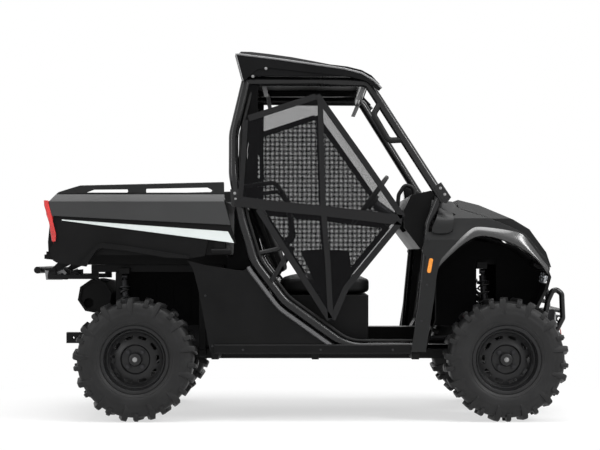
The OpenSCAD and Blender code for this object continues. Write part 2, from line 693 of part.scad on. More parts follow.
muffler_r = 100;
muffler_turn = 12;
muffler_z = tail_z - seat_gap - muffler_r * cos(muffler_turn);
module muffler() {
  color([0.25, 0.25, 0.26])
    difference() {
      translate([rear_x - 265, 200, muffler_z]) rotate([90, 0, 0]) rotate([0, 0, muffler_turn]) cylinder(h = 600, r = muffler_r, $fn = 8);
      translate([rear_x - 265, -390, muffler_z]) rotate([90, 0, 0]) rotate([0, 0, muffler_turn]) cylinder(h = 20, r = muffler_r - 14, $fn = 8);
      translate([rear_x - 300, -340, 650]) rotate([90, 0, 0]) cylinder(h = 70, r = 28);
    }
}

// Receiver for a tow bar, below the bed
receiver = 51;
module hitch() {
  color([0.05, 0.05, 0.05])
    difference() {
      union() {
        box([rear_x - 480, -32, rail_top + 20], [rear_x - 310, 32, rail_top + 84]);
        box([rear_x - 360, -rail_y, rail_z + 5], [rear_x - 330 - seat_gap, rail_y, rail_top + 40]);
      }
      box([rear_x - 481, -receiver / 2, rail_top + 52 - receiver / 2], [rear_x - 340, receiver / 2, rail_top + 52 + receiver / 2]);
      y_cylinder(rear_x - 440, -40, rail_top + 52, 8, 80);
    }
}

bar_r = 20;
bar_z = 838;
bar_arm_y = 280;
module rear_bar() {
  color([0.05, 0.05, 0.05]) {
    y_cylinder(rear_end + bar_r, -350, bar_z, bar_r, 700);
    both_sides() {
      bent_tube([[rear_end + bar_r, -bar_arm_y, bar_z], [rear_x - 535, -bar_arm_y, bar_z], [rear_x - 495, -bar_arm_y, 814],
                 [rear_x - 440, -bar_arm_y, 808]], 15, 20);
      side_plate(rear([[-540, 786], [-505, 830], [-420 - seat_gap, 838], [-420 - seat_gap, 790], [-440, 782]]),
                 -bar_arm_y - 4, 8);
    }
  }
}

// Front guard: two side loops, cross tubes and a skid plate

guard_y = 300;
module front_guard() {
  color([0.04, 0.04, 0.04]) {
    both_sides() {
      bent_tube([[front_x + 215, -guard_y, 450], [front_x + 262, -guard_y, 520], [front_x + 290, -guard_y, 660],
                 [front_x + 325, -guard_y, 738], [front_x + 370, -guard_y, 700], [front_x + 376, -guard_y, 560],
                 [front_x + 340, -guard_y, 490], [front_x + 215, -guard_y, 400]], guard_r, 26);
      box([front_x + 250, -guard_y, 488], [front_x + 330, 0, 500 - seat_gap]);
    }
    for (p = [[374, 600], [312, 470], [289, 655]])
      rod([front_x + p[0], -guard_y, p[1]], [front_x + p[0], guard_y, p[1]], guard_r - 2);
    both_sides() box([front_x + 198, -guard_y - 14, rail_z + 8], [front_x + 226, -rail_y - rail_w / 2 - seat_gap, 462]);
  }
}

module winch() {
  color([0.2, 0.2, 0.2]) {
    y_cylinder(front_x + 300, -150, 560, 40, 300);
    box([front_x + 255, -170, 500], [front_x + 345, -150, 606]);
    box([front_x + 255, 150, 500], [front_x + 345, 170, 606]);
    box([front_x + 255, -150, 500], [front_x + 345, 150, 512]);
    box([front_x + 345, -80, 500], [front_x + 352, 80, 590]);
    // Hook
    rod([front_x + 348, 0, 560], [front_x + 392, 0, 560], 9);
    translate([front_x + 398, 0, 545]) rotate([90, 0, 0])
      rotate_extrude() translate([16, 0]) circle(r = 6);
  }
}

// A strap hanging from the hook and folded back up: its centre line in X and Z, ahead of the front axle
strap_line = [[398, 522.6], [398, 508], [402, 492], [407, 474], [410, 455], [411, 436], [410.5, 418], [409, 402],
              [405, 390], [397, 384.5], [389, 390], [385, 402], [384, 418], [384, 436], [386, 455], [389, 472],
              [391.5, 488], [392.5, 504]];
strap_d = 6;
strap_sides = 8;
module hook_strap() {
  m = len(strap_line) - 1;
  rings = [for (i = [0:m]) let (d = unit(strap_line[min(i + 1, m)] - strap_line[max(i - 1, 0)]))
    each [for (j = [0:strap_sides - 1]) let (a = 360 * (j + 0.5) / strap_sides, u = strap_d / 2 * sin(a))
      [front_x + strap_line[i][0] + d[1] * u, strap_d / 2 * cos(a), strap_line[i][1] - d[0] * u]]];
  color([0.5, 0.1, 0.08]) polyhedron(points = rings, faces = sleeve(m, strap_sides));
}

// Cargo bed

bed_front = rear_x + 505;
module bed_side_outline(y, t) {
  side_plate(rear([
    [-455, 1225], [-455, 990], [-462, 975], [-473, 957], [-472, 932], [-457, 895], [-437, 883], [-387, 875],
    [-273, 861], [-212, 950], [-184, 962], [-40, 946], [165, 910], [290, 905], [385, 920], [405, 1010],
    [500, 1010], [560, 990], [532, 1090], [500, 1225]]), y, t);
}
module bed_box() {
  color([0.07, 0.07, 0.072]) {
    box([rear_x - 455, -bed_y + bed_wall, bed_floor_z + 20], [bed_front, bed_y - bed_wall, bed_floor_z + 20 + bed_wall]);
    box([bed_front - bed_wall, -bed_y + bed_wall, bed_floor_z + 20], [bed_front, bed_y - bed_wall, 1225]);
    both_sides() {
      box([rear_x - 455, -bed_y + bed_wall, bed_floor_z + 20], [bed_front, -bed_y + 2 * bed_wall, 1225]);
      bed_side_outline(-bed_y, bed_wall + 1);
      // Flare over the wheel
      side_plate(rear([[-307, 875], [-212, 981], [-184, 992], [-40, 975], [165, 942], [300, 920], [300, 905],
                       [165, 912], [-40, 948], [-184, 964], [-212, 952], [-273, 861]]), -bed_y - 26, 30);
      // Bracket and pin for the tailgate
      side_plate([[gate_pivot[0] - 14, gate_pivot[1] - 12], [rear_x - 440, 895], [rear_x - 440, bed_floor_z + 30],
                  [gate_pivot[0] + 14, gate_pivot[1] + 14], [gate_pivot[0] - 14, gate_pivot[1] + 12]], -645, 20);
      y_cylinder(gate_pivot[0], -645, gate_pivot[1], 8, 48);
      // Rail under the floor, with its hinge lug
      long_bar([rear_x - 440, bed_front - 10], bed_rail_y, half_m, bed_rail_top, bed_floor_z + 21);
      y_cylinder(bed_pivot[0], -bed_rail_y - 18, bed_pivot[1], 10 - run_gap, 36);
      y_cylinder(bed_pivot[0], -bed_rail_y - 7, bed_pivot[1], 15, 14);
      side_plate([bed_pivot + [-12, 8], [rear_x - 461, bed_floor_z], [rear_x - 455, bed_floor_z + 21],
                  [rear_x - 391, bed_floor_z + 21], [rear_x - 391, bed_rail_top + 11], bed_pivot + [12, -8]],
                 -bed_rail_y - 7, 14);
    }
  }
}

module bed_panels() {
  color([0.27, 0.27, 0.28]) both_sides() {
    side_plate(rear([[-466, 1143], [-478, 1222], [-440, 1262], [494, 1262], [494, 1222], [530, 1092], [-466, 1143]]), -bed_y - 14, 14 - seat_gap);
    box([rear_x - 440, -bed_y - 14, 1225 + seat_gap], [rear_x + 494, -bed_y + 44, 1262]);
  }
}

module bed_stripes() {
  color([0.82, 0.84, 0.85]) both_sides()
    side_plate(rear([[-407, 1117], [-407, 1123], [515, 1056], [549, 992]]), -bed_y - 6, 6 - seat_gap);
}

module bed_rails() {
  color([0.14, 0.14, 0.15]) both_sides()
    difference() {
      side_plate(rear([[-440, 1262 + seat_gap], [-425, 1275], [-345, 1300], [-303, 1312], [493, 1331], [494, 1262 + seat_gap]]),
                 -bed_y - 10, 2 * bed_rail_t);
      side_plate(rear([[-273, 1272], [-229, 1288], [-40, 1290], [-40, 1272]]), -bed_y - 40, 100);
      side_plate(rear([[60, 1272], [60, 1293], [400, 1300], [429, 1285], [420, 1272]]), -bed_y - 40, 100);
    }
}

module bed_grips() {
  color([0.06, 0.06, 0.06]) both_sides() {
    x_cylinder(rear_x + 424, -bed_y + 2, 945, 17, 110);
    box([rear_x + 440, -bed_y + 2, 940], [rear_x + 498, -bed_y + bed_wall - seat_gap, 1010 - seat_gap]);
  }
}

module tail_lamps() {
  color([0.8, 0.05, 0.03]) both_sides()
    side_plate(rear([[-506, 1226], [-494, 1150], [-476, 1096], [-459, 1056], [-456, 1000], [-456 , 990],
                     [-455 - seat_gap, 990], [-455 - seat_gap, 1226]]), -bed_y + 2, 90);
}

module tailgate() {
  color([0.08, 0.08, 0.085])
    difference() {
      union() {
        side_plate(rear([[-497, 930], [-485, 930], [-470, 950], [-470, 1220], [-492, 1220], [-490, 1100], [-500, 1000]]), -620, 1240);
        y_cylinder(gate_pivot[0], -620, gate_pivot[1], 15, 1240);
        box([gate_pivot[0] - 10, -600, gate_pivot[1]], [gate_pivot[0] + 15, 600, 945]);
      }
      both_sides() y_cylinder(gate_pivot[0], -621, gate_pivot[1], 8 + run_gap, 26);
    }
}

// Hood over the nose

hood_half_w = 596;
module hood_form(y) {
  side = concat(
    fore([[-252, 1198], [-250, 1238], [-135, 1208 ], [-39, 1166], [56, 1124], [145, 1070], [164, 1044], [240, 940], [268, 856]]),
    fore([[250, 860], [222, 914], [114, 1044], [32, 1088], [-105, 1144], [-240, 1187]]));
  intersection() {
    side_plate(side, -y, 2 * y);
    cross_plate([[-y, 700], [-y, 1130], [-y + 100, 1262], [y - 100, 1262], [y, 1130], [y, 700]], front_x - 400, 800);
  }
}
module hood() {
  color([0.13, 0.13, 0.135]) {
    hood_form(hood_half_w);
    both_sides() difference() {
      union() {
        y_cylinder(hood_pivot[0], -523, hood_pivot[1], 12, 16);
        side_plate([hood_pivot + [0, -11], hood_pivot + [40, -8], hood_pivot + [40, 12], hood_pivot + [0, 11]], -523, 16);
      }
      y_cylinder(hood_pivot[0], -524, hood_pivot[1], 6 + run_gap, 18);
    }
  }
}

// Wheels

half_w = 96;
module rim_profile() {
  polygon([
    [rim_r - 17, -half_w + 6], [rim_r - 10, -half_w], [rim_r + 12, -half_w], [rim_r + 12, -half_w + 5],
    [rim_r, -half_w + 5], [rim_r, -half_w + 30], [rim_r - 10, -half_w + 44], [rim_r - 10, half_w - 44],
    [rim_r, half_w - 30], [rim_r, half_w - 5], [rim_r + 12, half_w - 5], [rim_r + 12, half_w],
    [rim_r - 4, half_w], [rim_r - 10, half_w - 12], [rim_r - 12, 50], [rim_r - 17, 44]]);
}
module rim(x) {
  color([0.04, 0.04, 0.04]) translate([x, -wheel_y, hub_z]) rotate([90, 0, 0]) rotate_extrude() rim_profile();
}

// The dished disc inside the rim, with its hub and slots
module disc_profile() {
  r = rim_r - 17 - run_gap;
  polygon([
    [r, 28], [r, 42], [r - 5, 42], [r - 15, 30], [96, 48], [84, 52], [76, 40], [spindle_r + run_gap, 40],
    [spindle_r + run_gap, -12], [40, -12], [44, 20], [74, 34], [88, 42], [r - 13, 22]]);
}
module disc(x) {
  color([0.04, 0.04, 0.04]) translate([x, -wheel_y, hub_z]) rotate([90, 0, 0])
    difference() {
      rotate_extrude() disc_profile();
      for (i = [0:9]) rotate([0, 0, 36 * i]) translate([rim_r - 54, 0, 0]) {
        translate([-8, -16, 10]) cube([16, 32, 50]);
        for (e = [-16, 16]) translate([0, e, 10]) cylinder(h = 50, r = 8);
      }
    }
}

// A tyre for the right side: a carcass with two rows of lugs
module tyre(x) {
  base_r = tyre_r - lug_h;
  hw = tyre_w / 2;
  pitch = 360 / lug_count;
  bead_y = half_w - 5 - seat_gap;
  translate([x, -wheel_y, hub_z]) rotate([90, 0, 0]) {
    rotate_extrude($fn = 2 * lug_count)
      polygon([[rim_r + 6, -bead_y], [rim_r + 13, -bead_y], [base_r - 62, -hw], [base_r - 10, -hw + 12], [base_r + 2, -hw + 36],
               [base_r + 2, hw - 36], [base_r - 10, hw - 12], [base_r - 62, hw], [rim_r + 13, bead_y], [rim_r + 6, bead_y]]);
    for (i = [0:lug_count - 1], s = [-1, 1])
      rotate([0, 0, -90 + pitch * (i + (s > 0 ? 0.5 : 0))]) lug(s, hw, base_r);
  }
}
// One lug, from the middle of the tread out over the shoulder on side s
lug_w = 36;
lug_lean = 14;
module lug(s, hw, base_r) {
  section = [[tyre_r, -6], [tyre_r, hw - 24], [tyre_r - 10, hw - 4], [base_r - 44, hw + 1], [base_r - 44, hw - 14],
             [base_r - 10, hw - 34], [base_r - 10, -6]];
  rotate([s * lug_lean, 0, 0]) translate([0, lug_w / 2, 0]) rotate([90, 0, 0]) linear_extrude(lug_w)
    polygon([for (p = section) [p[0], s * p[1]]]);
}

module rim_front_right() { rim(front_x); }
module rim_front_left() { mirror([0, 1, 0]) rim(front_x); }
module rim_rear_right() { rim(rear_x); }
module rim_rear_left() { mirror([0, 1, 0]) rim(rear_x); }
module disc_front_right() { disc(front_x); }
module disc_front_left() { mirror([0, 1, 0]) disc(front_x); }
module disc_rear_right() { disc(rear_x); }
module disc_rear_left() { mirror([0, 1, 0]) disc(rear_x); }
module tyre_front_right() { color([0.09, 0.09, 0.09]) tyre(front_x); }
module tyre_front_left() { color([0.09, 0.09, 0.09]) mirror([0, 1, 0]) tyre(front_x); }
module tyre_rear_right() { color([0.09, 0.09, 0.09]) tyre(rear_x); }
module tyre_rear_left() { color([0.09, 0.09, 0.09]) mirror([0, 1, 0]) tyre(rear_x); }

frame();
cross_members();
frame_posts();
arm_mounts();
floor();
cab_cage();
roof();
side_panels();
front_fenders();
inner_wells();
front_fascia();
headlamps();
side_markers();
dash();
steering_column();
controls();
seat_base();
seat_cushions();
seat_backs();
hip_bars();
grab_handle();
side_nets();
engine_block();
radiator();
final_drives();
half_shafts();
suspension_arms();
rear_uprights();
shock_bodies();
shock_springs();
muffler();
hitch();
rear_bar();
front_guard();
winch();
hook_strap();
bed_box();
bed_panels();
bed_stripes();
bed_rails();
bed_grips();
tail_lamps();
tailgate();
hood();
knuckle_right();
knuckle_left();
steering_wheel();
tie_rods();
rim_front_right();
rim_front_left();
rim_rear_right();
rim_rear_left();
disc_front_right();
disc_front_left();
disc_rear_right();
disc_rear_left();
tyre_front_right();
tyre_front_left();
tyre_rear_right();
tyre_rear_left();
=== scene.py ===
"""Utility vehicle with a roll cage, side nets and a tipping bed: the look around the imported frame."""
import math

import bpy
from mathutils import Matrix, Vector


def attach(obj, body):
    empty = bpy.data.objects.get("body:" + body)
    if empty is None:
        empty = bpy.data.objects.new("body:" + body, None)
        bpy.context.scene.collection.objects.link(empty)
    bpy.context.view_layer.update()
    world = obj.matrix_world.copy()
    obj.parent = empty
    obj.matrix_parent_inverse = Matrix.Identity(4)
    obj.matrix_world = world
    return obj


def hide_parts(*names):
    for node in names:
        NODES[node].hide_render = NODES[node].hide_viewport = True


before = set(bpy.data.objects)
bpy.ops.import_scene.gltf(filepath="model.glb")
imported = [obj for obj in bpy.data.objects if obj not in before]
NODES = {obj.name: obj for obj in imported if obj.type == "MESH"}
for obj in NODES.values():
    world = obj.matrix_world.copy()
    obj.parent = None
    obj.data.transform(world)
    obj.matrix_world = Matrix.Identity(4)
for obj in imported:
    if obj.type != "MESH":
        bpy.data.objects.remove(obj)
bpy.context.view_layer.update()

bl_info = {
    "name": "Utility Vehicle Look",
    "version": (1, 0, 0),
    "blender": (4, 5, 0),
    "location": "View3D > Sidebar > Vehicle",
    "description": "Builds the tyres, body panels, nets, seats and finishes of a side by side utility vehicle",
    "category": "Add Mesh",
}

REAR_X = -0.929
FRONT_X = 1.131
HUB_Z = 0.345
WHEEL_Y = 0.665
WHEELS = {"front_right": (FRONT_X, -1), "front_left": (FRONT_X, 1),
          "rear_right": (REAR_X, -1), "rear_left": (REAR_X, 1)}
SIDES = {"right": -1, "left": 1}
AXES = {"X": (1, 0, 0), "Y": (0, 1, 0), "Z": (0, 0, 1)}


# Modelling helpers

def deselect():
    """Leave edit mode and clear the selection."""
    if bpy.context.object and bpy.context.object.mode != "OBJECT":
        bpy.ops.object.mode_set(mode="OBJECT")
    bpy.ops.object.select_all(action="DESELECT")


def pick(obj):
    """Make one object the only selected and the active one."""
    deselect()
    obj.select_set(True)
    bpy.context.view_layer.objects.active = obj
    return obj


def settle(obj):
    """Put an object's place, turn and size into its mesh."""
    pick(obj)
    bpy.ops.object.transform_apply(location=True, rotation=True, scale=True)
    return obj


def modify(obj, kind, **settings):
    """Add a modifier, set it and apply it."""
    pick(obj)
    m = obj.modifiers.new(kind.title(), kind)
    for key, value in settings.items():
        setattr(m, key, value)
    bpy.ops.object.modifier_apply(modifier=m.name)
    return obj


def tidy_mesh(obj, merge=1e-5):
    """Merge doubles and point the faces outwards."""
    pick(obj)
    bpy.ops.object.mode_set(mode="EDIT")
    bpy.ops.mesh.select_all(action="SELECT")
    bpy.ops.mesh.remove_doubles(threshold=merge)
    bpy.ops.mesh.normals_make_consistent(inside=False)
    bpy.ops.object.mode_set(mode="OBJECT")
    return obj


def smooth(obj, angle=38):
    """Shade smooth over edges flatter than an angle in degrees."""
    pick(obj)
    bpy.ops.object.shade_smooth_by_angle(angle=math.radians(angle))
    return obj


def join(parts, name):
    """One object out of several."""
    deselect()
    for p in parts:
        p.select_set(True)
    bpy.context.view_layer.objects.active = parts[0]
    if len(parts) > 1:
        bpy.ops.object.join()
    o = bpy.context.view_layer.objects.active
    o.name = o.data.name = name
    return o


def copy_of(obj, matrix, flip=False):
    """A copy with its own mesh, moved by a matrix; flip when the matrix mirrors."""
    pick(obj)
    bpy.ops.object.duplicate()
    o = bpy.context.object
    o.data.transform(matrix)
    if flip:
        o.data.flip_normals()
    return o


def mirrored(obj):
    return copy_of(obj, Matrix.Scale(-1, 4, AXES["Y"]), flip=True)


def both_sides(name, *parts):
    """One object out of pieces of the right side and their mirror images."""
    o = join(parts, name)
    return join([o, mirrored(o)], name)


def bevel(obj, width, segments=2):
    return modify(obj, "BEVEL", width=width, segments=segments, limit_method="ANGLE",
                  angle_limit=math.radians(35), use_clamp_overlap=True)


def block(name, low, high, edge, segments=2):
    """A block between two corners with rounded edges."""
    deselect()
    low, high = Vector(low), Vector(high)
    bpy.ops.mesh.primitive_cube_add(size=1, location=(low + high) / 2)
    o = bpy.context.object
    o.name = name
    o.scale = high - low
    return bevel(settle(o), edge, segments)


def slab(name, outline, start, depth, plane="XZ", edge=0.002, segments=2):
    """A plate: a filled ring set to an outline in the XZ or YZ plane and extruded, with rounded edges."""
    deselect()
    bpy.ops.mesh.primitive_circle_add(vertices=len(outline), fill_type="NGON")
    o = bpy.context.object
    o.name = name
    for v, (a, b) in zip(o.data.vertices, outline):
        v.co = (a, start, b) if plane == "XZ" else (start, a, b)
    way = (0, depth, 0) if plane == "XZ" else (depth, 0, 0)
    bpy.ops.object.mode_set(mode="EDIT")
    bpy.ops.mesh.select_all(action="SELECT")
    bpy.ops.mesh.extrude_region_move(TRANSFORM_OT_translate={"value": way})
    bpy.ops.mesh.select_all(action="SELECT")
    bpy.ops.mesh.normals_make_consistent(inside=False)
    bpy.ops.object.mode_set(mode="OBJECT")
    return bevel(o, edge, segments) if edge else o


def turned(name, profile, centre, axis="Y", steps=48):
    """A turned piece: a ring of points in (radius, along) spun round an axis through its centre."""
    deselect()
    bpy.ops.mesh.primitive_circle_add(vertices=len(profile), fill_type="NOTHING")
    o = bpy.context.object
    o.name = name
    c = Vector(centre)
    for v, (r, h) in zip(o.data.vertices, profile):
        v.co = c + Vector({"X": (h, 0, r), "Y": (r, h, 0), "Z": (r, 0, h)}[axis])
    bpy.ops.object.mode_set(mode="EDIT")
    bpy.ops.mesh.select_all(action="SELECT")
    bpy.ops.mesh.spin(steps=steps, angle=2 * math.pi, center=c, axis=AXES[axis])
    bpy.ops.object.mode_set(mode="OBJECT")
    return tidy_mesh(o)


def rounded(path, bend, steps=6):
    """A path with its corners rounded to a radius."""
    path = [Vector(p) for p in path]
    out = [path[0]]
    for a, b, c in zip(path, path[1:], path[2:]):
        u, v = (a - b).normalized(), (c - b).normalized()
        turn = math.pi - u.angle(v)
        cut = min(bend * math.tan(turn / 2), 0.45 * (a - b).length, 0.45 * (c - b).length)
        p, q = b + u * cut, b + v * cut
        for i in range(steps + 1):
            t = i / steps
            out.append((1 - t) ** 2 * p + 2 * t * (1 - t) * b + t * t * q)
    return out + [path[-1]]


def tube(name, path, radius, resolution=4):
    """A round bar swept along a path."""
    deselect()
    line = bpy.data.curves.new(name, "CURVE")
    line.dimensions = "3D"
    line.bevel_depth = radius
    line.bevel_resolution = resolution
    line.use_fill_caps = True
    spline = line.splines.new("POLY")
    spline.points.add(len(path) - 1)
    for p, q in zip(spline.points, path):
        p.co = (*q, 1)
    o = bpy.data.objects.new(name, line)
    bpy.context.scene.collection.objects.link(o)
    pick(o)
    bpy.ops.object.convert(target="MESH")
    return smooth(bpy.context.object, 50)


def skin(name, rows, thick, rounds=0):
    """A grid laid through rows of points, rounded by subdivision and given its thickness."""
    deselect()
    bpy.ops.mesh.primitive_grid_add(x_subdivisions=len(rows[0]) - 1, y_subdivisions=len(rows) - 1)
    o = bpy.context.object
    o.name = name
    for v, p in zip(o.data.vertices, [p for row in rows for p in row]):
        v.co = p
    if rounds:
        modify(o, "SUBSURF", levels=rounds, render_levels=rounds)
    modify(o, "SOLIDIFY", thickness=thick, offset=0)
    return smooth(tidy_mesh(o, 1e-6), 40)


def beside(path, d):
    """A flat path moved sideways, to the left as it runs."""
    out = []
    for i, p in enumerate(path):
        run = (Vector(path[min(i + 1, len(path) - 1)]) - Vector(path[max(i - 1, 0)])).normalized()
        out.append((p[0] - run.y * d, p[1] + run.x * d))
    return out


def bolt(name, place, way, head, height):
    """A hexagon head on a washer, standing along a direction."""
    deselect()
    turn = Vector(AXES["Z"]).rotation_difference(Vector(way)).to_matrix().to_4x4()
    thick = 0.002
    bpy.ops.mesh.primitive_cylinder_add(vertices=20, radius=head * 1.35, depth=thick,
                                        location=(0, 0, thick / 2))
    washer = settle(bpy.context.object)
    deselect()
    bpy.ops.mesh.primitive_cylinder_add(vertices=6, radius=head, depth=height,
                                        location=(0, 0, height / 2 + thick))
    nut = bevel(settle(bpy.context.object), 0.0008)
    o = join([washer, nut], name)
    o.data.transform(Matrix.Translation(Vector(place)) @ turn)
    return smooth(o)


def dress(obj, body, finish, stands_for=()):
    """Give a finished piece its material and its body, and hide the nodes it stands for."""
    obj.data.materials.clear()
    obj.data.materials.append(bpy.data.materials[finish])
    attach(obj, body)
    if stands_for:
        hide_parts(*stands_for)
    return obj


# Shader groups

def new_group(name, inputs, outputs):
    """A shader group, with its inputs as (label, kind, value) and its outputs as (label, kind)."""
    tree = bpy.data.node_groups.new(name, "ShaderNodeTree")
    for label, kind, value in inputs:
        s = tree.interface.new_socket(label, in_out="INPUT", socket_type="NodeSocket" + kind)
        if value is not None:
            s.default_value = value
    for label, kind in outputs:
        tree.interface.new_socket(label, in_out="OUTPUT", socket_type="NodeSocket" + kind)
    return tree, tree.nodes.new("NodeGroupInput").outputs, tree.nodes.new("NodeGroupOutput").inputs


def set_inputs(node, **values):
    """Set a node's inputs by their names, with an underscore for each space."""
    for key, value in values.items():
        node.inputs[key.replace("_", " ")].default_value = value
    return node


def add_node(tree, kind, **values):
    return set_inputs(tree.nodes.new("ShaderNode" + kind), **values)


def wire(tree, *pairs):
    """Link sockets, each pair from an output to an input."""
    for source, target in pairs:
        tree.links.new(source, target)


def math_node(tree, operation, *values):
    """The result of an operation on sockets and numbers."""
    n = add_node(tree, "Math")
    n.operation = operation
    for socket, value in zip(n.inputs, values):
        if isinstance(value, (int, float)):
            socket.default_value = value
        else:
            tree.links.new(value, socket)
    return n.outputs[0]


def build_grain_group():
    """Fine moulded or cast grain with slow patches: a normal, and a mask of the patches."""
    tree, given, result = new_group(
        "Surface Grain",
        [("Vector", "Vector", None), ("Grain Size", "Float", 900.0), ("Grain Depth", "Float", 0.1),
         ("Patch Size", "Float", 6.0)],
        [("Normal", "Vector"), ("Patches", "Float")])
    fine = add_node(tree, "TexNoise", Detail=3)
    slow = add_node(tree, "TexNoise", Detail=4, Roughness=0.6)
    bump = add_node(tree, "Bump", Distance=0.0006)
    patches = add_node(tree, "MapRange", From_Min=0.35, From_Max=0.68)
    wire(tree, (given["Vector"], fine.inputs["Vector"]), (given["Grain Size"], fine.inputs["Scale"]),
         (given["Vector"], slow.inputs["Vector"]), (given["Patch Size"], slow.inputs["Scale"]),
         (given["Grain Depth"], bump.inputs["Strength"]), (fine.outputs["Fac"], bump.inputs["Height"]),
         (slow.outputs["Fac"], patches.inputs["Value"]), (bump.outputs["Normal"], result["Normal"]),
         (patches.outputs[0], result["Patches"]))


def build_mesh_group():
    """Woven open mesh in the X and Z plane: how much thread there is, and how high it stands."""
    tree, given, result = new_group(
        "Open Mesh", [("Vector", "Vector", None), ("Pitch", "Float", 0.0045), ("Thread", "Float", 0.3)],
        [("Alpha", "Float"), ("Height", "Float")])
    split = add_node(tree, "SeparateXYZ")
    half = math_node(tree, "MULTIPLY", given["Thread"], 0.5)
    threads = []
    for axis in ("X", "Z"):
        cell = math_node(tree, "FRACT", math_node(tree, "DIVIDE", split.outputs[axis], given["Pitch"]))
        centred = math_node(tree, "ABSOLUTE", math_node(tree, "SUBTRACT", cell, 0.5))
        threads.append(math_node(tree, "LESS_THAN", centred, half))
    wire(tree, (given["Vector"], split.inputs[0]), (math_node(tree, "MAXIMUM", *threads), result["Alpha"]),
         (math_node(tree, "ADD", *threads), result["Height"]))


def build_weave_group():
    """Webbing weave from two crossed waves."""
    tree, given, result = new_group(
        "Fine Weave", [("Vector", "Vector", None), ("Threads", "Float", 400.0), ("Depth", "Float", 0.5)],
        [("Normal", "Vector"), ("Mask", "Float")])
    waves = []
    for way in ("X", "Z"):
        w = add_node(tree, "TexWave")
        w.bands_direction = way
        wire(tree, (given["Vector"], w.inputs["Vector"]), (given["Threads"], w.inputs["Scale"]))
        waves.append(w.outputs["Fac"])
    woven = math_node(tree, "MAXIMUM", *waves)
    bump = add_node(tree, "Bump", Distance=0.0006)
    wire(tree, (given["Depth"], bump.inputs["Strength"]), (woven, bump.inputs["Height"]),
         (bump.outputs["Normal"], result["Normal"]), (woven, result["Mask"]))


def place_group(mat, label, **values):
    """A shader group placed in a material, fed with Object coordinates."""
    tree = mat.node_tree
    g = tree.nodes.new("ShaderNodeGroup")
    g.node_tree = bpy.data.node_groups[label]
    wire(tree, (add_node(tree, "TexCoord").outputs["Object"], g.inputs["Vector"]))
    return set_inputs(g, **values)


def blank_material(name, colour, rough, metal=0.0, coat=0.0, coat_rough=0.1, level=0.5):
    mat = bpy.data.materials.new(name)
    mat.use_nodes = True
    shader = set_inputs(mat.node_tree.nodes["Principled BSDF"], Base_Color=(*colour, 1), Roughness=rough,
                        Metallic=metal, Coat_Weight=coat, Coat_Roughness=coat_rough,
                        Specular_IOR_Level=level)
    return mat, shader


def mixed_colour(tree, mask, first, second):
    """Two colours mixed by a mask: a colour Mix node has them at inputs 6 and 7, and gives output 2."""
    n = add_node(tree, "Mix")
    n.data_type = "RGBA"
    n.inputs[6].default_value = (*first, 1)
    n.inputs[7].default_value = (*second, 1)
    wire(tree, (mask, n.inputs[0]))
    return n.outputs[2]


def ranged(tree, value, low, high, **more):
    """A value from 0 to 1, or from the range given in more, spread between low and high."""
    n = add_node(tree, "MapRange", To_Min=low, To_Max=high, **more)
    wire(tree, (value, n.inputs["Value"]))
    return n.outputs[0]


def solid_finish(name, colour, rough, grain=900.0, depth=0.1, patch=6.0, tint=0.12, **surface):
    """A moulded, cast or painted finish: grain in the normal, patches in the colour and the gloss."""
    mat, shader = blank_material(name, colour, rough, **surface)
    tree = mat.node_tree
    g = place_group(mat, "Surface Grain", Grain_Size=grain, Grain_Depth=depth, Patch_Size=patch)
    patches = g.outputs["Patches"]
    darker = [c * (1 - tint) for c in colour]
    lighter = [c * (1 + tint) + 0.001 for c in colour]
    wire(tree, (mixed_colour(tree, patches, darker, lighter), shader.inputs["Base Color"]),
         (ranged(tree, patches, max(rough - 0.04, 0.03), min(rough + 0.05, 1)), shader.inputs["Roughness"]),
         (g.outputs["Normal"], shader.inputs["Normal"]))


class VehicleFinishes(bpy.types.PropertyGroup):
    body_grey: bpy.props.FloatVectorProperty(
        name="Body grey", description="Colour of the fenders, the flares, the hood and the bed's rails",
        subtype="COLOR", size=3, min=0, max=1, default=(0.0125, 0.0128, 0.013))
    bed_grey: bpy.props.FloatVectorProperty(
        name="Bed grey", description="Colour of the bed's side panels", subtype="COLOR",
        size=3, min=0, max=1, default=(0.030, 0.0305, 0.031))
    moulded_black: bpy.props.FloatVectorProperty(
        name="Moulded black", description="Colour of the black plastic panels", subtype="COLOR",
        size=3, min=0, max=1, default=(0.0045, 0.0045, 0.0047))
    stripe_silver: bpy.props.FloatVectorProperty(
        name="Stripe silver", description="Colour of the stripe along the bed", subtype="COLOR",
        size=3, min=0, max=1, default=(0.62, 0.66, 0.65))
    strap_red: bpy.props.FloatVectorProperty(
        name="Strap red", description="Colour of the strap on the winch's hook", subtype="COLOR",
        size=3, min=0, max=1, default=(0.42, 0.05, 0.035))


class VehicleSizes(bpy.types.PropertyGroup):
    lugs: bpy.props.IntProperty(
        name="Lugs per row", description="Number of lugs round one side of a tyre", default=13, min=11, max=15)
    net_pitch: bpy.props.FloatProperty(
        name="Net pitch", description="Distance between two threads of the side nets", unit="LENGTH",
        default=0.0039, min=0.002, max=0.02)
    webbing: bpy.props.FloatProperty(
        name="Webbing width", description="Width of the webbing along the nets' edges", unit="LENGTH",
        default=0.034, min=0.015, max=0.06)


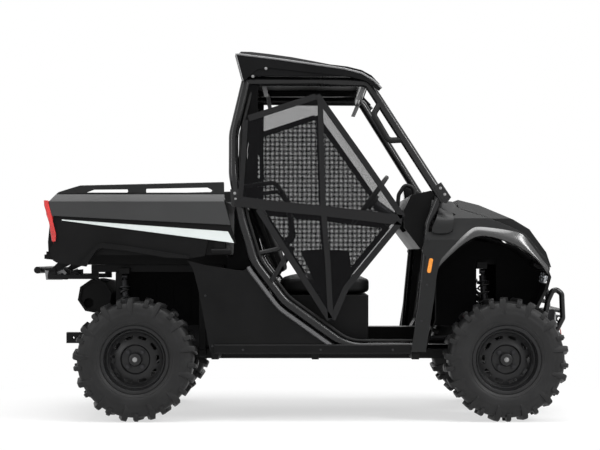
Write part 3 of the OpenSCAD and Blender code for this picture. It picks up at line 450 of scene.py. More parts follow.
class VEHICLE_OT_finishes(bpy.types.Operator):
    """Make the shader groups and every material"""
    bl_idname = "vehicle.finishes"
    bl_label = "Finishes"

    def execute(self, context):
        p = context.scene.vehicle_finishes
        build_grain_group()
        build_mesh_group()
        build_weave_group()
        solid_finish("moulded_black", p.moulded_black, 0.42, grain=700, depth=0.12, patch=4, level=0.1)
        solid_finish("liner_black", (0.002, 0.002, 0.0022), 0.7, grain=500, depth=0.15, patch=5, level=0.06)
        solid_finish("roof_black", (0.0025, 0.0025, 0.0028), 0.5, grain=600, depth=0.14, patch=3, level=0.1)
        solid_finish("body_grey", p.body_grey, 0.36, depth=0.05, patch=3, coat=0.03, coat_rough=0.3,
                     tint=0.06, level=0.14)
        solid_finish("flare_grey", p.body_grey, 0.27, depth=0.04, patch=3, coat=0.6, coat_rough=0.22,
                     tint=0.06)
        # Painted highlight: a lighter grey than the bed panels, for the light that the bed's top chamfer
        # catches
        solid_finish("bed_chamfer_painted_highlight", (0.105, 0.1055, 0.106), 0.36, depth=0.05, patch=3, tint=0.06, level=0.3)
        # Painted highlight: a pale grey for the bright upper edge of the roof; the roof brackets share it
        solid_finish("pale_grey_and_painted_highlight", (0.16, 0.16, 0.162), 0.4, depth=0.03, patch=3, tint=0.05, level=0.3)
        # Painted highlight: a pale grey for the lit bevel of the side panels beside the door tubes
        solid_finish("panel_edge_painted_highlight", (0.055, 0.055, 0.057), 0.42, depth=0.05, patch=3, tint=0.06, level=0.3)
        solid_finish("bed_grey", p.bed_grey, 0.4, depth=0.05, patch=3, coat=0.05, coat_rough=0.35, tint=0.06,
                     level=0.26)
        solid_finish("cage_black", (0.004, 0.004, 0.0044), 0.26, grain=400, depth=0.04, patch=5, coat=0.12,
                     coat_rough=0.15, level=0.3)
        solid_finish("frame_black", (0.004, 0.004, 0.0044), 0.45, grain=400, depth=0.1, patch=8, level=0.15)
        solid_finish("stripe_silver", p.stripe_silver, 0.3, grain=1500, depth=0.02, patch=3, tint=0.02,
                     coat=0.2, level=0.3)
        solid_finish("steel_dark", (0.03, 0.03, 0.032), 0.42, grain=500, depth=0.15, metal=0.7, level=0.2)
        solid_finish("plate_zinc", (0.26, 0.26, 0.265), 0.42, grain=300, depth=0.2, metal=0.9, tint=0.2)
        solid_finish("bolt_zinc", (0.3, 0.3, 0.3), 0.3, depth=0.1, metal=1.0)
        solid_finish("cast_grey", (0.05, 0.05, 0.052), 0.55, grain=350, depth=0.35, metal=0.5, level=0.2)
        solid_finish("spring_black", (0.006, 0.006, 0.0065), 0.28, grain=400, depth=0.05, coat=0.2,
                     level=0.3)
        solid_finish("muffler_black", (0.006, 0.006, 0.006), 0.6, grain=250, depth=0.2, metal=0.2, tint=0.05,
                     level=0.1)
        solid_finish("wheel_black", (0.008, 0.008, 0.0085), 0.36, grain=700, depth=0.06, patch=7, coat=0.08,
                     coat_rough=0.25, level=0.25)
        solid_finish("grip_rubber", (0.006, 0.006, 0.006), 0.6, grain=800, depth=0.3, level=0.2)
        solid_finish("tyre_black", (0.013, 0.013, 0.0133), 0.5, grain=420, depth=0.3, patch=9, tint=0.2,
                     level=0.2)
        solid_finish("seat_black", (0.005, 0.005, 0.0053), 0.5, grain=500, depth=0.35, patch=8, tint=0.1,
                     level=0.14)
        solid_finish("rope_grey", (0.1, 0.1, 0.105), 0.55, depth=0.6)
        solid_finish("reflector_chrome", (0.75, 0.76, 0.78), 0.08, grain=120, depth=0.02, metal=1.0,
                     tint=0.03)
        solid_finish("screen_black", (0.004, 0.0045, 0.005), 0.12, grain=100, depth=0.01, coat=0.6,
                     coat_rough=0.03)
        for name, colour, rough in (
                ("amber_lens", (0.72, 0.24, 0.012), 0.18), ("red_lens", (0.5, 0.014, 0.012), 0.15)):
            solid_finish(name, colour, rough, grain=200, depth=0.08, patch=20, coat=0.6, coat_rough=0.05,
                         tint=0.15)
        mat, shader = blank_material("clear_lens", (0.75, 0.77, 0.8), 0.06, coat=0.4)
        set_inputs(shader, Transmission_Weight=0.6)
        g = place_group(mat, "Surface Grain", Grain_Size=60.0, Grain_Depth=0.15, Patch_Size=12.0)
        wire(mat.node_tree, (g.outputs["Normal"], shader.inputs["Normal"]))
        # Net, webbing and strap
        mat, shader = blank_material("net_mesh", (0.004, 0.004, 0.0045), 0.85, level=0.1)
        g = place_group(mat, "Open Mesh", Pitch=context.scene.vehicle_sizes.net_pitch, Thread=0.46)
        bump = add_node(mat.node_tree, "Bump", Distance=0.0005)
        wire(mat.node_tree, (g.outputs["Height"], bump.inputs["Height"]),
             (bump.outputs["Normal"], shader.inputs["Normal"]), (g.outputs["Alpha"], shader.inputs["Alpha"]))
        for name, dark, light, threads in (
                ("webbing_black", (0.004, 0.004, 0.0044), (0.009, 0.009, 0.0095), 350.0),
                ("strap_red", [c * 0.7 for c in p.strap_red], p.strap_red, 500.0)):
            mat, shader = blank_material(name, dark, 0.8, level=0.2)
            set_inputs(shader, Sheen_Weight=0.08)
            g = place_group(mat, "Fine Weave", Threads=threads, Depth=0.5)
            wire(mat.node_tree, (g.outputs["Normal"], shader.inputs["Normal"]),
                 (mixed_colour(mat.node_tree, g.outputs["Mask"], dark, light), shader.inputs["Base Color"]))
        return {"FINISHED"}


# The frame's own nodes: the finish of each, and the radius of the edges of those that are rounded

NODE_FINISHES = {"frame_black": "frame cross_members frame_posts arm_mounts suspension_arms hitch rear_bar",
                 "moulded_black": "floor side_panels front_fascia dash seat_base bed_box bed_grips tailgate",
                 "cage_black": "cab_cage hip_bars front_guard", "body_grey": "front_fenders bed_rails hood",
                 "steel_dark": "steering_column controls radiator half_shafts shock_bodies winch tie_rods",
                 "cast_grey": "engine_block final_drives rear_uprights knuckle_right knuckle_left",
                 "seat_black": "seat_cushions seat_backs", "grip_rubber": "grab_handle steering_wheel",
                 "roof_black": "roof", "liner_black": "inner_wells", "clear_lens": "headlamps",
                 "amber_lens": "side_markers", "red_lens": "tail_lamps", "webbing_black": "side_nets",
                 "spring_black": "shock_springs", "muffler_black": "muffler", "strap_red": "hook_strap",
                 "bed_grey": "bed_panels", "stripe_silver": "bed_stripes",}
EDGE_RADII = {
    0.0008: "bed_stripes", 0.0018: "side_markers", 0.002: "arm_mounts floor inner_wells headlamps winch",
    0.003: "frame cross_members frame_posts bed_box tail_lamps tailgate", 0.004: "front_fascia muffler",
    0.005: "bed_panels bed_rails", 0.006: "side_panels dash seat_base engine_block",
    0.008: "front_fenders", 0.009: "hood", 0.012: "roof",
}


class VEHICLE_OT_dress_nodes(bpy.types.Operator):
    """Give every CAD node its finish, and rounded edges where panels are moulded"""
    bl_idname = "vehicle.dress_nodes"
    bl_label = "CAD nodes"

    def execute(self, context):
        finishes = {name: finish for finish, names in NODE_FINISHES.items() for name in names.split()}
        radii = {name: radius for radius, names in EDGE_RADII.items() for name in names.split()}
        for place in WHEELS:
            finishes["tyre_" + place] = "tyre_black"
            for name in ("rim_" + place, "disc_" + place):
                finishes[name] = "wheel_black"
                radii[name] = 0.002
        for name, node in NODES.items():
            node.data.materials.clear()
            node.data.materials.append(bpy.data.materials[finishes[name]])
            if name not in radii:
                continue
            weld = node.modifiers.new("Weld", "WELD")
            weld.merge_threshold = 1e-5
            round_edges = node.modifiers.new("Round edges", "BEVEL")
            round_edges.width = radii[name]
            round_edges.segments = 3
            round_edges.limit_method = "ANGLE"
            round_edges.angle_limit = math.radians(32)
            round_edges.harden_normals = True
        return {"FINISHED"}


# Stage

CAMERA_PLACE = (0.036, -10.22, 0.931)
CAMERA_LENS = 102.65
CAMERA_SHIFT = (-0.015, 0.0483)
# name: place, point it is aimed at, width and height, power in watts
LAMPS = {
    "top": ((0.2, -0.8, 5.2), (0.1, 0, 0.9), (5.5, 3.2), 330),
    "front_side": ((4.6, -3.6, 4.2), (0.9, -0.5, 0.9), (1.2, 2.4), 220),
    "rear_side": ((-5.0, -4.4, 3.2), (-0.8, -0.5, 0.8), (1.4, 3.2), 90),
    "far_side": ((0, 5.5, 3.8), (0, 0, 0.9), (5.0, 1.6), 120),
}


def seen_directly(tree):
    """1 for rays from the camera, from gloss and through glass."""
    path = tree.nodes.new("ShaderNodeLightPath")
    direct = math_node(tree, "MAXIMUM", path.outputs["Is Camera Ray"], path.outputs["Is Glossy Ray"])
    return math_node(tree, "MAXIMUM", direct, path.outputs["Is Transmission Ray"])


class VEHICLE_OT_stage(bpy.types.Operator):
    """Floor, backdrop light, lamps and camera"""
    bl_idname = "vehicle.stage"
    bl_label = "Stage"

    def execute(self, context):
        deselect()
        bpy.ops.mesh.primitive_plane_add(size=60)
        floor = bpy.context.object
        floor.name = "studio_floor"
        mat, shader = blank_material("studio_floor", (0.9, 0.9, 0.9), 0.8, level=0.1)
        tree = mat.node_tree
        # Seen directly, the floor runs out to plain white and keeps a soft shadow near the vehicle
        away = add_node(tree, "VectorMath")
        away.operation = "LENGTH"
        wire(tree, (add_node(tree, "TexCoord").outputs["Object"], away.inputs[0]))
        fade = ranged(tree, away.outputs["Value"], 0.62, 1.0, From_Min=1.2, From_Max=2.6)
        mix = add_node(tree, "MixShader")
        wire(tree, (math_node(tree, "MULTIPLY", fade, seen_directly(tree)), mix.inputs[0]),
             (shader.outputs[0], mix.inputs[1]), (add_node(tree, "Emission").outputs[0], mix.inputs[2]),
             (mix.outputs[0], tree.nodes["Material Output"].inputs["Surface"]))
        floor.data.materials.append(mat)
        # World: white when it is seen, grey as light
        world = bpy.data.worlds.new("studio")
        context.scene.world = world
        world.use_nodes = True
        tree = world.node_tree
        back = set_inputs(tree.nodes["Background"], Color=(1, 1, 1, 1))
        wire(tree, (ranged(tree, seen_directly(tree), 0.45, 1.0), back.inputs["Strength"]))
        for name, (place, aim, size, power) in LAMPS.items():
            lamp = bpy.data.lights.new(name, "AREA")
            lamp.shape = "RECTANGLE"
            lamp.size, lamp.size_y = size
            lamp.energy = power
            o = bpy.data.objects.new(name, lamp)
            context.scene.collection.objects.link(o)
            o.location = place
            o.rotation_euler = (Vector(aim) - Vector(place)).to_track_quat("-Z", "Y").to_euler()
        lens = bpy.data.cameras.new("camera")
        lens.sensor_width = 36
        lens.lens = CAMERA_LENS
        lens.shift_x, lens.shift_y = CAMERA_SHIFT
        lens.clip_end = 200
        camera = bpy.data.objects.new("camera", lens)
        camera.location = CAMERA_PLACE
        camera.rotation_euler = (math.pi / 2, 0, 0)
        context.scene.collection.objects.link(camera)
        context.scene.camera = camera
        context.scene.view_settings.view_transform = "Standard"
        return {"FINISHED"}


# Wheels

LUG_TOP = 0.334     # radius above which a lug narrows
HUB_FACE = 0.046    # the disc's outer face, from the middle of the wheel
NUT_CIRCLE = 0.056


def tyre_carcass(c):
    """The tyre's body: beads, sidewalls with two raised rings, shoulders and crown."""
    half = [(0.1840, 0.0906), (0.1905, 0.0912), (0.1940, 0.0955), (0.2000, 0.0995), (0.2050, 0.1030),
            (0.2090, 0.1052), (0.2120, 0.1050), (0.2150, 0.1072), (0.2300, 0.1110), (0.2480, 0.1127),
            (0.2620, 0.1126), (0.2660, 0.1106), (0.2760, 0.1108), (0.2900, 0.1072), (0.3060, 0.1015),
            (0.3150, 0.0940), (0.3215, 0.0780), (0.3240, 0.0400)]
    return smooth(turned("carcass", half + [(r, -y) for r, y in reversed(half)], c, "Y", steps=96), 30)


def tyre_lug(section, width, lean, taper):
    """One lug along X, with Z across the tread: a slab cut to a section, narrower at its top and leaning."""
    o = slab("lug", section, -width / 2, width, edge=0)
    for v in o.data.vertices:
        if v.co.x > LUG_TOP:
            v.co.y *= taper
    bevel(o, 0.003)
    o.data.transform(Matrix.Rotation(lean, 4, "X"))
    return o


class VEHICLE_OT_tyres(bpy.types.Operator):
    """Four tyres with staggered lugs"""
    bl_idname = "vehicle.tyres"
    bl_label = "Tyres"

    def execute(self, context):
        count = context.scene.vehicle_sizes.lugs
        pitch = 2 * math.pi / count
        long_lug = [(0.3450, -0.010), (0.3450, 0.084), (0.3370, 0.104), (0.3060, 0.1105), (0.2720, 0.1150),
                    (0.2560, 0.1150), (0.2500, 0.1085), (0.3000, 0.092), (0.3150, 0.060), (0.3150, -0.010)]
        short_lug = [(0.3430, 0.050), (0.3430, 0.086), (0.3340, 0.105), (0.3120, 0.1095), (0.2960, 0.1098),
                     (0.2930, 0.100), (0.3100, 0.085), (0.3150, 0.050)]
        # From the lug's frame to the wheel's: Z across the tread becomes Y
        to_wheel = Matrix(((1, 0, 0, 0), (0, 0, 1, 0), (0, -1, 0, 0), (0, 0, 0, 1)))
        lugs = []
        for side in (1, -1):
            for section, width, lean, taper, shift in (
                    (long_lug, 0.036, 0.24, 0.82, 0.0), (short_lug, 0.026, 0.10, 0.8, 0.5)):
                o = tyre_lug(section, width, lean, taper)
                o.data.transform(to_wheel)
                if side < 0:
                    o.data.transform(Matrix.Scale(-1, 4, AXES["Y"]))
                    o.data.flip_normals()
                first = -math.pi / 2 + pitch * (shift + (0.5 if side > 0 else 0.0))
                for i in range(count):
                    lugs.append(copy_of(o, Matrix.Rotation(first + pitch * i, 4, "Y")))
                bpy.data.objects.remove(o)
        tread = join(lugs, "tread")
        for place, (x, s) in WHEELS.items():
            centre = Vector((x, s * WHEEL_Y, HUB_Z))
            body = tyre_carcass(centre)
            own = copy_of(tread, Matrix.Translation(centre))
            o = join([body, smooth(own, 30)], "tyre_tread_" + place)
            dress(o, "wheel_" + place, "tyre_black", ["tyre_" + place])
        bpy.data.objects.remove(tread)
        return {"FINISHED"}


class VEHICLE_OT_wheel_parts(bpy.types.Operator):
    """Hub caps, axle nuts and wheel nuts"""
    bl_idname = "vehicle.wheel_parts"
    bl_label = "Wheel parts"

    def execute(self, context):
        profile = [(0.0005, 0), (0.038, 0), (0.038, 0.018), (0.033, 0.028), (0.024, 0.032), (0.0005, 0.033)]
        for place, (x, s) in WHEELS.items():
            c = Vector((x, s * WHEEL_Y, HUB_Z))
            out = Vector((0, s, 0))
            cap = turned("hub_cap_" + place, [(r, s * (HUB_FACE + h)) for r, h in profile], c, "Y", 32)
            dress(smooth(cap), "wheel_" + place, "wheel_black")
            nut = bolt("axle_nut_" + place, c + out * (HUB_FACE + 0.033), out, 0.010, 0.010)
            dress(nut, "wheel_" + place, "bolt_zinc")
            nuts = []
            for i in range(4):
                a = math.pi / 4 + i * math.pi / 2
                at = c + Vector((NUT_CIRCLE * math.cos(a), s * (HUB_FACE + 0.001), NUT_CIRCLE * math.sin(a)))
                nuts.append(bolt("nut", at, out, 0.011, 0.016))
            dress(join(nuts, "wheel_nuts_" + place), "wheel_" + place, "steel_dark")
        return {"FINISHED"}


# Springs and strap

def helix(top, low, turns, radius):
    """Points wound round the line from its top to its low end."""
    per_turn = 16
    d = (low - top).normalized()
    u = d.cross(Vector(AXES["Y"])).normalized()
    v = d.cross(u)
    n = turns * per_turn
    out = []
    for i in range(n + 1):
        a = 2 * math.pi * i / per_turn
        out.append(top + (low - top) * i / n + radius * (u * math.cos(a) + v * math.sin(a)))
    return out


class VEHICLE_OT_springs(bpy.types.Operator):
    """Coil springs over the four shock absorbers"""
    bl_idname = "vehicle.springs"
    bl_label = "Coil springs"

    def execute(self, context):
        coils = []
        # upper and lower eye of a damper; the coil sits between its two collars
        for x, z_top, y_top in ((FRONT_X, 0.8297, -0.325), (REAR_X, 0.8017, -0.378)):
            top = Vector((x - 0.095, y_top, z_top))
            low = Vector((x - 0.060, -0.465, 0.3305))
            d = (low - top).normalized()
            coils.append(tube("coil", helix(top + d * 0.0745, low - d * 0.0465, 9, 0.0305), 0.0052, 3))
        o = both_sides("coil_springs", *coils)
        dress(o, "chassis", "spring_black", ["shock_springs"])
        return {"FINISHED"}


STRAP_LINE = [(398, 522.6), (398, 508), (402, 492), (407, 474), (410, 455), (411, 436), (410.5, 418),
              (409, 402), (405, 390), (397, 384.5), (389, 390), (385, 402), (384, 418), (384, 436),
              (386, 455), (389, 472), (391.5, 488), (392.5, 504)]


class VEHICLE_OT_strap(bpy.types.Operator):
    """Red pull strap looped on the winch's hook"""
    bl_idname = "vehicle.strap"
    bl_label = "Hook strap"

    def execute(self, context):
        path = [Vector((FRONT_X + x / 1000, 0, z / 1000)) for x, z in STRAP_LINE]
        o = tube("pull_strap", path, 0.003, 3)
        dress(o, "chassis", "strap_red", ["hook_strap"])
        return {"FINISHED"}


# Nets

NET_Y = 0.7303
NET_OUTLINE = [(-0.269, 1.699), (0.081, 1.816), (0.125, 1.766), (0.565, 1.142), (0.541, 1.098),
               (0.236, 0.731), (0.176, 0.560), (0.136, 0.560), (-0.248, 1.176), (-0.289, 1.195),
               (-0.369, 1.200), (-0.381, 1.250), (-0.329, 1.262), (-0.315, 1.677)]


def band_line(points, width, s, lift):
    """The two edge lines of a webbing band in the net's plane."""
    left, right = [], []
    for i, p in enumerate(points):
        a, b = Vector(points[max(i - 1, 0)]), Vector(points[min(i + 1, len(points) - 1)])
        d = (b - a).normalized()
        n = Vector((-d.y, d.x)) * width / 2
        left.append((p[0] + n.x, s * (NET_Y + lift), p[1] + n.y))
        right.append((p[0] - n.x, s * (NET_Y + lift), p[1] - n.y))
    return left, right


class VEHICLE_OT_nets(bpy.types.Operator):
    """Side nets: a sheet of open mesh each side, edged with webbing"""
    bl_idname = "vehicle.nets"
    bl_label = "Side nets"

    def execute(self, context):
        w = context.scene.vehicle_sizes.webbing
        for side, s in SIDES.items():
            net = slab("net_mesh_" + side, NET_OUTLINE, s * (NET_Y - 0.0004), s * 0.0008, edge=0)
            dress(net, "chassis", "net_mesh", ["side_nets"])
            lines = [
                ([(-0.30, 1.683), (0.075, 1.805)], w),
                ([(0.080, 1.812), (0.128, 1.745), (0.345, 1.440), (0.556, 1.135)], w),
                ([(0.098, 1.800), (0.106, 1.500), (0.115, 1.190), (0.140, 0.890), (0.156, 0.575)], w * 0.9),
                ([(-0.375, 1.226), (-0.15, 1.196), (0.10, 1.172), (0.33, 1.145), (0.552, 1.118)], w * 1.7),
                ([(-0.245, 1.180), (-0.03, 0.85), (0.152, 0.568)], w),
                ([(0.538, 1.104), (0.240, 0.740), (0.166, 0.568)], w),
                ([(-0.316, 1.675), (-0.332, 1.40), (-0.345, 1.245)], w * 0.8),
            ]
            bands = [skin("band", band_line(points, width, s, 0.0013 if i % 2 else 0.0019), 0.0022)
                     for i, (points, width) in enumerate(lines)]
            webbing = tidy_mesh(join(bands, "net_webbing_" + side))
            skirt = [(-0.012, 0.950), (0.110, 0.957), (0.258, 0.950), (0.271, 0.842), (0.262, 0.760),
                     (0.180, 0.600), (0.150, 0.585)]
            skirt = slab("net_skirt_" + side, skirt, s * (NET_Y - 0.0042), s * 0.002, edge=0)
            for piece in (skirt, webbing):
                dress(piece, "chassis", "webbing_black")
        return {"FINISHED"}


# Body panels and trim

def fore(points):
    """Points given in mm from the front axle."""
    return [(FRONT_X + x / 1000, z / 1000) for x, z in points]


def rear(points):
    """Points given in mm from the rear axle."""
    return [(REAR_X + x / 1000, z / 1000) for x, z in points]


class VEHICLE_OT_bed_panels(bpy.types.Operator):
    """Upper side panels of the bed, with a chamfer along the top painted in a lighter grey as a highlight"""
    bl_idname = "vehicle.bed_panels"
    bl_label = "Bed panels"

    def execute(self, context):
        face = slab("face", rear([(-466, 1143), (-478, 1222.5), (494, 1222.5), (530, 1092)]), -0.734, 0.0137,
                    edge=0.0015)
        beam = slab("beam", [(-0.734, 1.222), (-0.7305, 1.2618), (-0.676, 1.2618), (-0.676, 1.2256),
                             (-0.7203, 1.2256), (-0.7203, 1.222)], REAR_X - 0.478, 0.972, plane="YZ", edge=0)
        for v in beam.data.vertices:
            if v.co.x < REAR_X:
                v.co.x += 0.95 * (v.co.z - 1.222)
        # The top beam and its chamfer are painted a lighter grey as a highlight
        top = both_sides("bed_side_tops", smooth(bevel(beam, 0.002)))
        dress(top, "bed", "bed_chamfer_painted_highlight")
        o = both_sides("bed_side_panels", face)
        dress(o, "bed", "bed_grey", ["bed_panels"])
        lens = slab("lens", [(-1.4355, 1.229), (-1.412, 1.229), (-1.389, 1.135), (-1.367, 1.042),
                             (-1.369, 1.000), (-1.389, 1.000), (-1.408, 1.120), (-1.432, 1.197)], -0.7375,
                    0.008)
        dress(both_sides("tail_lamp_sides", smooth(lens)), "bed", "red_lens")
        return {"FINISHED"}


class VEHICLE_OT_roof_sides(bpy.types.Operator):
    """Side flanges of the roof with a painted highlight along their upper edge, and the dark plates behind the
    rear pillars
    """
    bl_idname = "vehicle.roof_sides"
    bl_label = "Roof sides"

    def execute(self, context):
        top = [(-0.375, 2.050), (-0.132, 2.022), (0.020, 2.000), (0.2325, 1.970), (0.3296, 1.945),
               (0.396, 1.906), (0.4419, 1.860)]
        low = [(0.4268, 1.8405), (0.3537, 1.897), (0.2627, 1.921), (0.020, 1.9466), (-0.1924, 1.970),
               (-0.2532, 1.961), (-0.3018, 1.919), (-0.332, 1.892)]
        flange = slab("flange", top + low, -0.6735, 0.005, edge=0.0015)
        dress(both_sides("roof_flanges", flange), "chassis", "roof_black")
        # A pale tube along the roof's upper edge, painted as a highlight
        edge = [(-0.334, -0.672, 1.896), (-0.375, -0.672, 2.048)] + [(x, -0.672, z - 0.004) for x,
                                                                     z in top[1:]]
        edge = tube("edge", rounded(edge, 0.012), 0.0055, 3)
        dress(both_sides("roof_edges", edge), "chassis", "pale_grey_and_painted_highlight")
        plates = [slab("plate", line, -0.640, 0.004) for line in ([(-0.425, 0.845), (-0.425, 0.915),
                                                                   (-0.392, 0.917), (-0.386, 0.945),
                                                                   (-0.380, 1.236), (-0.330, 1.236),
                                                                   (-0.262, 0.960), (-0.262, 0.845)],
                                                                  [(-0.334, 1.877), (-0.250, 1.877),
                                                                   (-0.252, 1.560), (-0.352, 1.560)],
                                                                  [(-0.352, 1.560), (-0.313, 1.560),
                                                                   (-0.309, 1.408), (-0.365, 1.408)],
                                                                  [(-0.278, 1.560), (-0.252, 1.560),
                                                                   (-0.250, 1.408), (-0.276, 1.408)],
                                                                  [(-0.365, 1.408), (-0.250, 1.408),
                                                                   (-0.255, 1.237), (-0.371, 1.237)])]
        dress(both_sides("pillar_plates", *plates), "chassis", "liner_black")
        # Body between the hood, the fender and the front pillar
        wall = -0.744
        cowl = [[(0.700, wall, 1.045), (0.770, wall, 1.045), (0.838, wall, 1.045)],
                [(0.732, wall, 1.108), (0.780, wall, 1.112), (0.838, wall, 1.128)],
                [(0.756, -0.705, 1.155), (0.790, -0.700, 1.152), (0.838, -0.690, 1.150)],
                [(0.762, -0.610, 1.222), (0.795, -0.606, 1.214), (0.838, -0.600, 1.200)]]
        cowl = both_sides("cowl_sides", skin("cowl", cowl, 0.003, rounds=1))
        dress(cowl, "chassis", "body_grey")
        return {"FINISHED"}


class VEHICLE_OT_fender_flares(bpy.types.Operator):
    """Flares round the front wheel arches"""
    bl_idname = "vehicle.fender_flares"
    bl_label = "Fender flares"

    def execute(self, context):
        crease = [(0.769, 0.909), (0.850, 0.992), (0.935, 1.075), (0.972, 1.084), (1.094, 1.069),
                  (1.195, 1.053), (1.232, 1.034), (1.318, 0.914), (1.363, 0.862)]
        ridge = [(0.761, 0.884), (0.840, 0.960), (0.926, 1.040), (0.972, 1.062), (1.091, 1.042),
                 (1.180, 1.012), (1.232, 0.975), (1.309, 0.897), (1.361, 0.842)]
        lip = [(0.751, 0.856), (0.815, 0.924), (0.903, 0.999), (0.981, 1.038), (1.091, 1.014),
               (1.185, 0.977), (1.257, 0.930), (1.316, 0.880), (1.356, 0.817)]
        out = [0.747, 0.757, 0.764, 0.767, 0.769, 0.771, 0.771, 0.768, 0.756]
        rows = [[(x, -0.7435, z) for x, z in crease],
                [(x, -y, z) for (x, z), y in zip(ridge, out)],
                [(x, -y, z) for (x, z), y in zip(lip, out)],
                [(x, -0.7400, z + 0.004) for x, z in lip]]
        flare = both_sides("fender_flares", skin("flare", rows, 0.003, rounds=2))
        dress(flare, "chassis", "flare_grey")
        return {"FINISHED"}


DOOR_CURVE = [(-0.384, 1.370), (-0.337, 1.120), (-0.264, 0.880), (-0.099, 0.665), (0.251, 0.413),
              (0.671, 0.413)]


class VEHICLE_OT_door_trim(bpy.types.Operator):
    """Seals inside the door tubes, and strips on the side panels beside them painted pale as a highlight on
    the panels' edge
    """
    bl_idname = "vehicle.door_trim"
    bl_label = "Door trim"

    def execute(self, context):
        curve = [(p.x, p.z) for p in rounded([(x, 0, z) for x, z in DOOR_CURVE], 0.24, 8)]
        pillar = rounded([(-0.285, -0.630, 1.850), (-0.346, -0.668, 1.600)], 0.1)
        seal = tube("seal", pillar + [Vector((x, -0.703, z)) for x, z in beside(curve, 0.036)], 0.0085, 3)
        dress(both_sides("door_seals", seal), "chassis", "grip_rubber")
        # Pale strips beside the lower door tubes: a painted highlight on the panels' bevelled edge
        part = [p for p in curve if 0.425 < p[1] < 0.885]
        rows = [[(x, -y, z) for x, z in beside(part, -d)]
                for d, y in ((0.058, 0.7242), (0.053, 0.7325), (0.036, 0.7242))]
        strip = both_sides("side_strips", skin("strip", rows, 0.0012))
        dress(strip, "chassis", "panel_edge_painted_highlight")
        return {"FINISHED"}


class VEHICLE_OT_liners(bpy.types.Operator):
    """Inner walls of the front wheel wells and splash guards beside the engine"""
    bl_idname = "vehicle.liners"
    bl_label = "Liners"

    def execute(self, context):
        well = [(0.695, 0.520), (0.742, 0.800), (0.765, 0.862), (0.869, 0.960), (0.981, 1.012),
                (1.087, 0.994), (1.189, 0.982), (1.272, 0.932), (1.330, 0.880), (1.372, 0.830),
                (1.352, 0.640), (1.340, 0.520), (1.110, 0.520), (1.110, 0.900), (0.998, 0.900),
                (0.998, 0.520)]
        guard = [(-1.056, 0.520), (-1.056, 0.862), (-0.612, 0.862), (-0.612, 0.780), (-0.462, 0.780),
                 (-0.462, 0.520)]
        guard_y = -0.301
        walls = [slab("well", well, -0.387, 0.004, edge=0.0012),
                 slab("guard", guard, guard_y, 0.004, edge=0.0012)]
        ribs = [block("rib", (x, guard_y - 0.0035, 0.54), (x + 0.012, guard_y, 0.76), 0.001)
                for x in (-0.96, -0.86, -0.76, -0.66)]
        dress(both_sides("well_liners", *walls, *ribs), "chassis", "liner_black")
        return {"FINISHED"}


class VEHICLE_OT_hood_bulge(bpy.types.Operator):
    """Raised middle of the hood, and ribs pressed in the roof"""
    bl_idname = "vehicle.hood_bulge"
    bl_label = "Hood and roof forms"

    def execute(self, context):
        line = fore([(-225, 1231), (-135, 1207), (-39, 1165), (56, 1123), (140, 1071)])
        rise = [0.002, 0.012, 0.014, 0.014, 0.004]
        rows = [[(x, y, z + up * k - 0.002) for (x, z), up in zip(line, rise)]
                for y, k in ((-0.30, 0), (-0.27, 0.8), (-0.22, 1), (0.22, 1), (0.27, 0.8), (0.30, 0))]
        o = skin("hood_middle", rows, 0.002, rounds=2)
        dress(o, "hood", "body_grey")
        line = rear([(630, 2066), (745, 2053), (870, 2034), (980, 2012), (1075, 1992)])
        rise = [0.0, 0.008, 0.009, 0.009, 0.0]
        ribs = []
        for middle in (-0.36, -0.12, 0.12, 0.36):
            rows = [[(x, middle + y, z + up * k - 0.002) for (x, z), up in zip(line, rise)]
                    for y, k in ((-0.060, 0), (-0.048, 1), (0.048, 1), (0.060, 0))]
            ribs.append(skin("rib", rows, 0.002, rounds=2))
        dress(join(ribs, "roof_ribs"), "chassis", "roof_black")
        return {"FINISHED"}


class VEHICLE_OT_fasteners(bpy.types.Operator):
    """Bolts and the small plates they hold"""
    bl_idname = "vehicle.fasteners"
    bl_label = "Fasteners"

    def execute(self, context):
        cage_y, dash_y, roof_y, bar_y = -0.7295, -0.7235, -0.6735, -0.2985
        plates = [slab("plate", outline, y, thick) for outline, y,
                  thick in (([(-0.402, 1.290), (-0.352, 1.292), (-0.342, 1.215), (-0.352, 1.190),
                              (-0.394, 1.192)], cage_y, 0.004), ([(0.728, 1.306), (0.770, 1.330),
                                                                  (0.826, 1.246), (0.800, 1.212),
                                                                  (0.782, 1.216)], dash_y, 0.010),
                            ([(-0.242, 1.944), (-0.214, 1.944), (-0.192, 1.816), (-0.216, 1.814)], -0.5935,
                             0.004), ([(0.345, 1.905), (0.371, 1.900), (0.325, 1.796), (0.301, 1.800)],
                                      -0.5935, 0.004))]
        dress(both_sides("roof_brackets", *plates[2:]), "chassis", "pale_grey_and_painted_highlight")
        dress(both_sides("cage_brackets", *plates[:2]), "chassis", "cage_black")
        out = (0, -1, 0)
        heads = [bolt("bolt", p, out, 0.006, 0.005) for p in (
            (-0.376, cage_y, 1.268), (-0.370, cage_y, 1.237), (0.766, dash_y, 1.297), (0.790, dash_y, 1.262),
            (-0.204, roof_y, 1.966), (-0.277, roof_y, 1.922))]
        dress(both_sides("cage_bolts", *heads), "chassis", "bolt_zinc")
        small = [bolt("bolt", p, out, 0.005, 0.003) for p in ((-0.500, -0.724, 0.420),
                                                              (-0.540, -0.724, 0.700),
                                                              (-0.330, -0.740, 0.400),
                                                              (0.100, -0.740, 0.400), (0.500, -0.740, 0.400),
                                                              (0.660, -0.746, 0.560), (0.690, -0.746, 0.760),
                                                              (0.700, -0.7465, 1.010))]
        dress(both_sides("panel_bolts", *small), "chassis", "steel_dark")
        # Plates under the rear bar
        side = [(-1.497, 0.838), (-1.489, 0.781), (-1.394, 0.781), (-1.368, 0.822), (-1.388, 0.843),
                (-1.432, 0.823)]
        side = slab("side", side, bar_y, 0.003)
        nuts = [bolt("nut", (x, bar_y, z), out, 0.007, 0.006)
                for x, z in ((-1.470, 0.806), (-1.430, 0.800), (-1.396, 0.812))]
        dress(both_sides("bar_plates", side), "chassis", "plate_zinc")
        dress(both_sides("bar_bolts", *nuts), "chassis", "steel_dark")
        return {"FINISHED"}


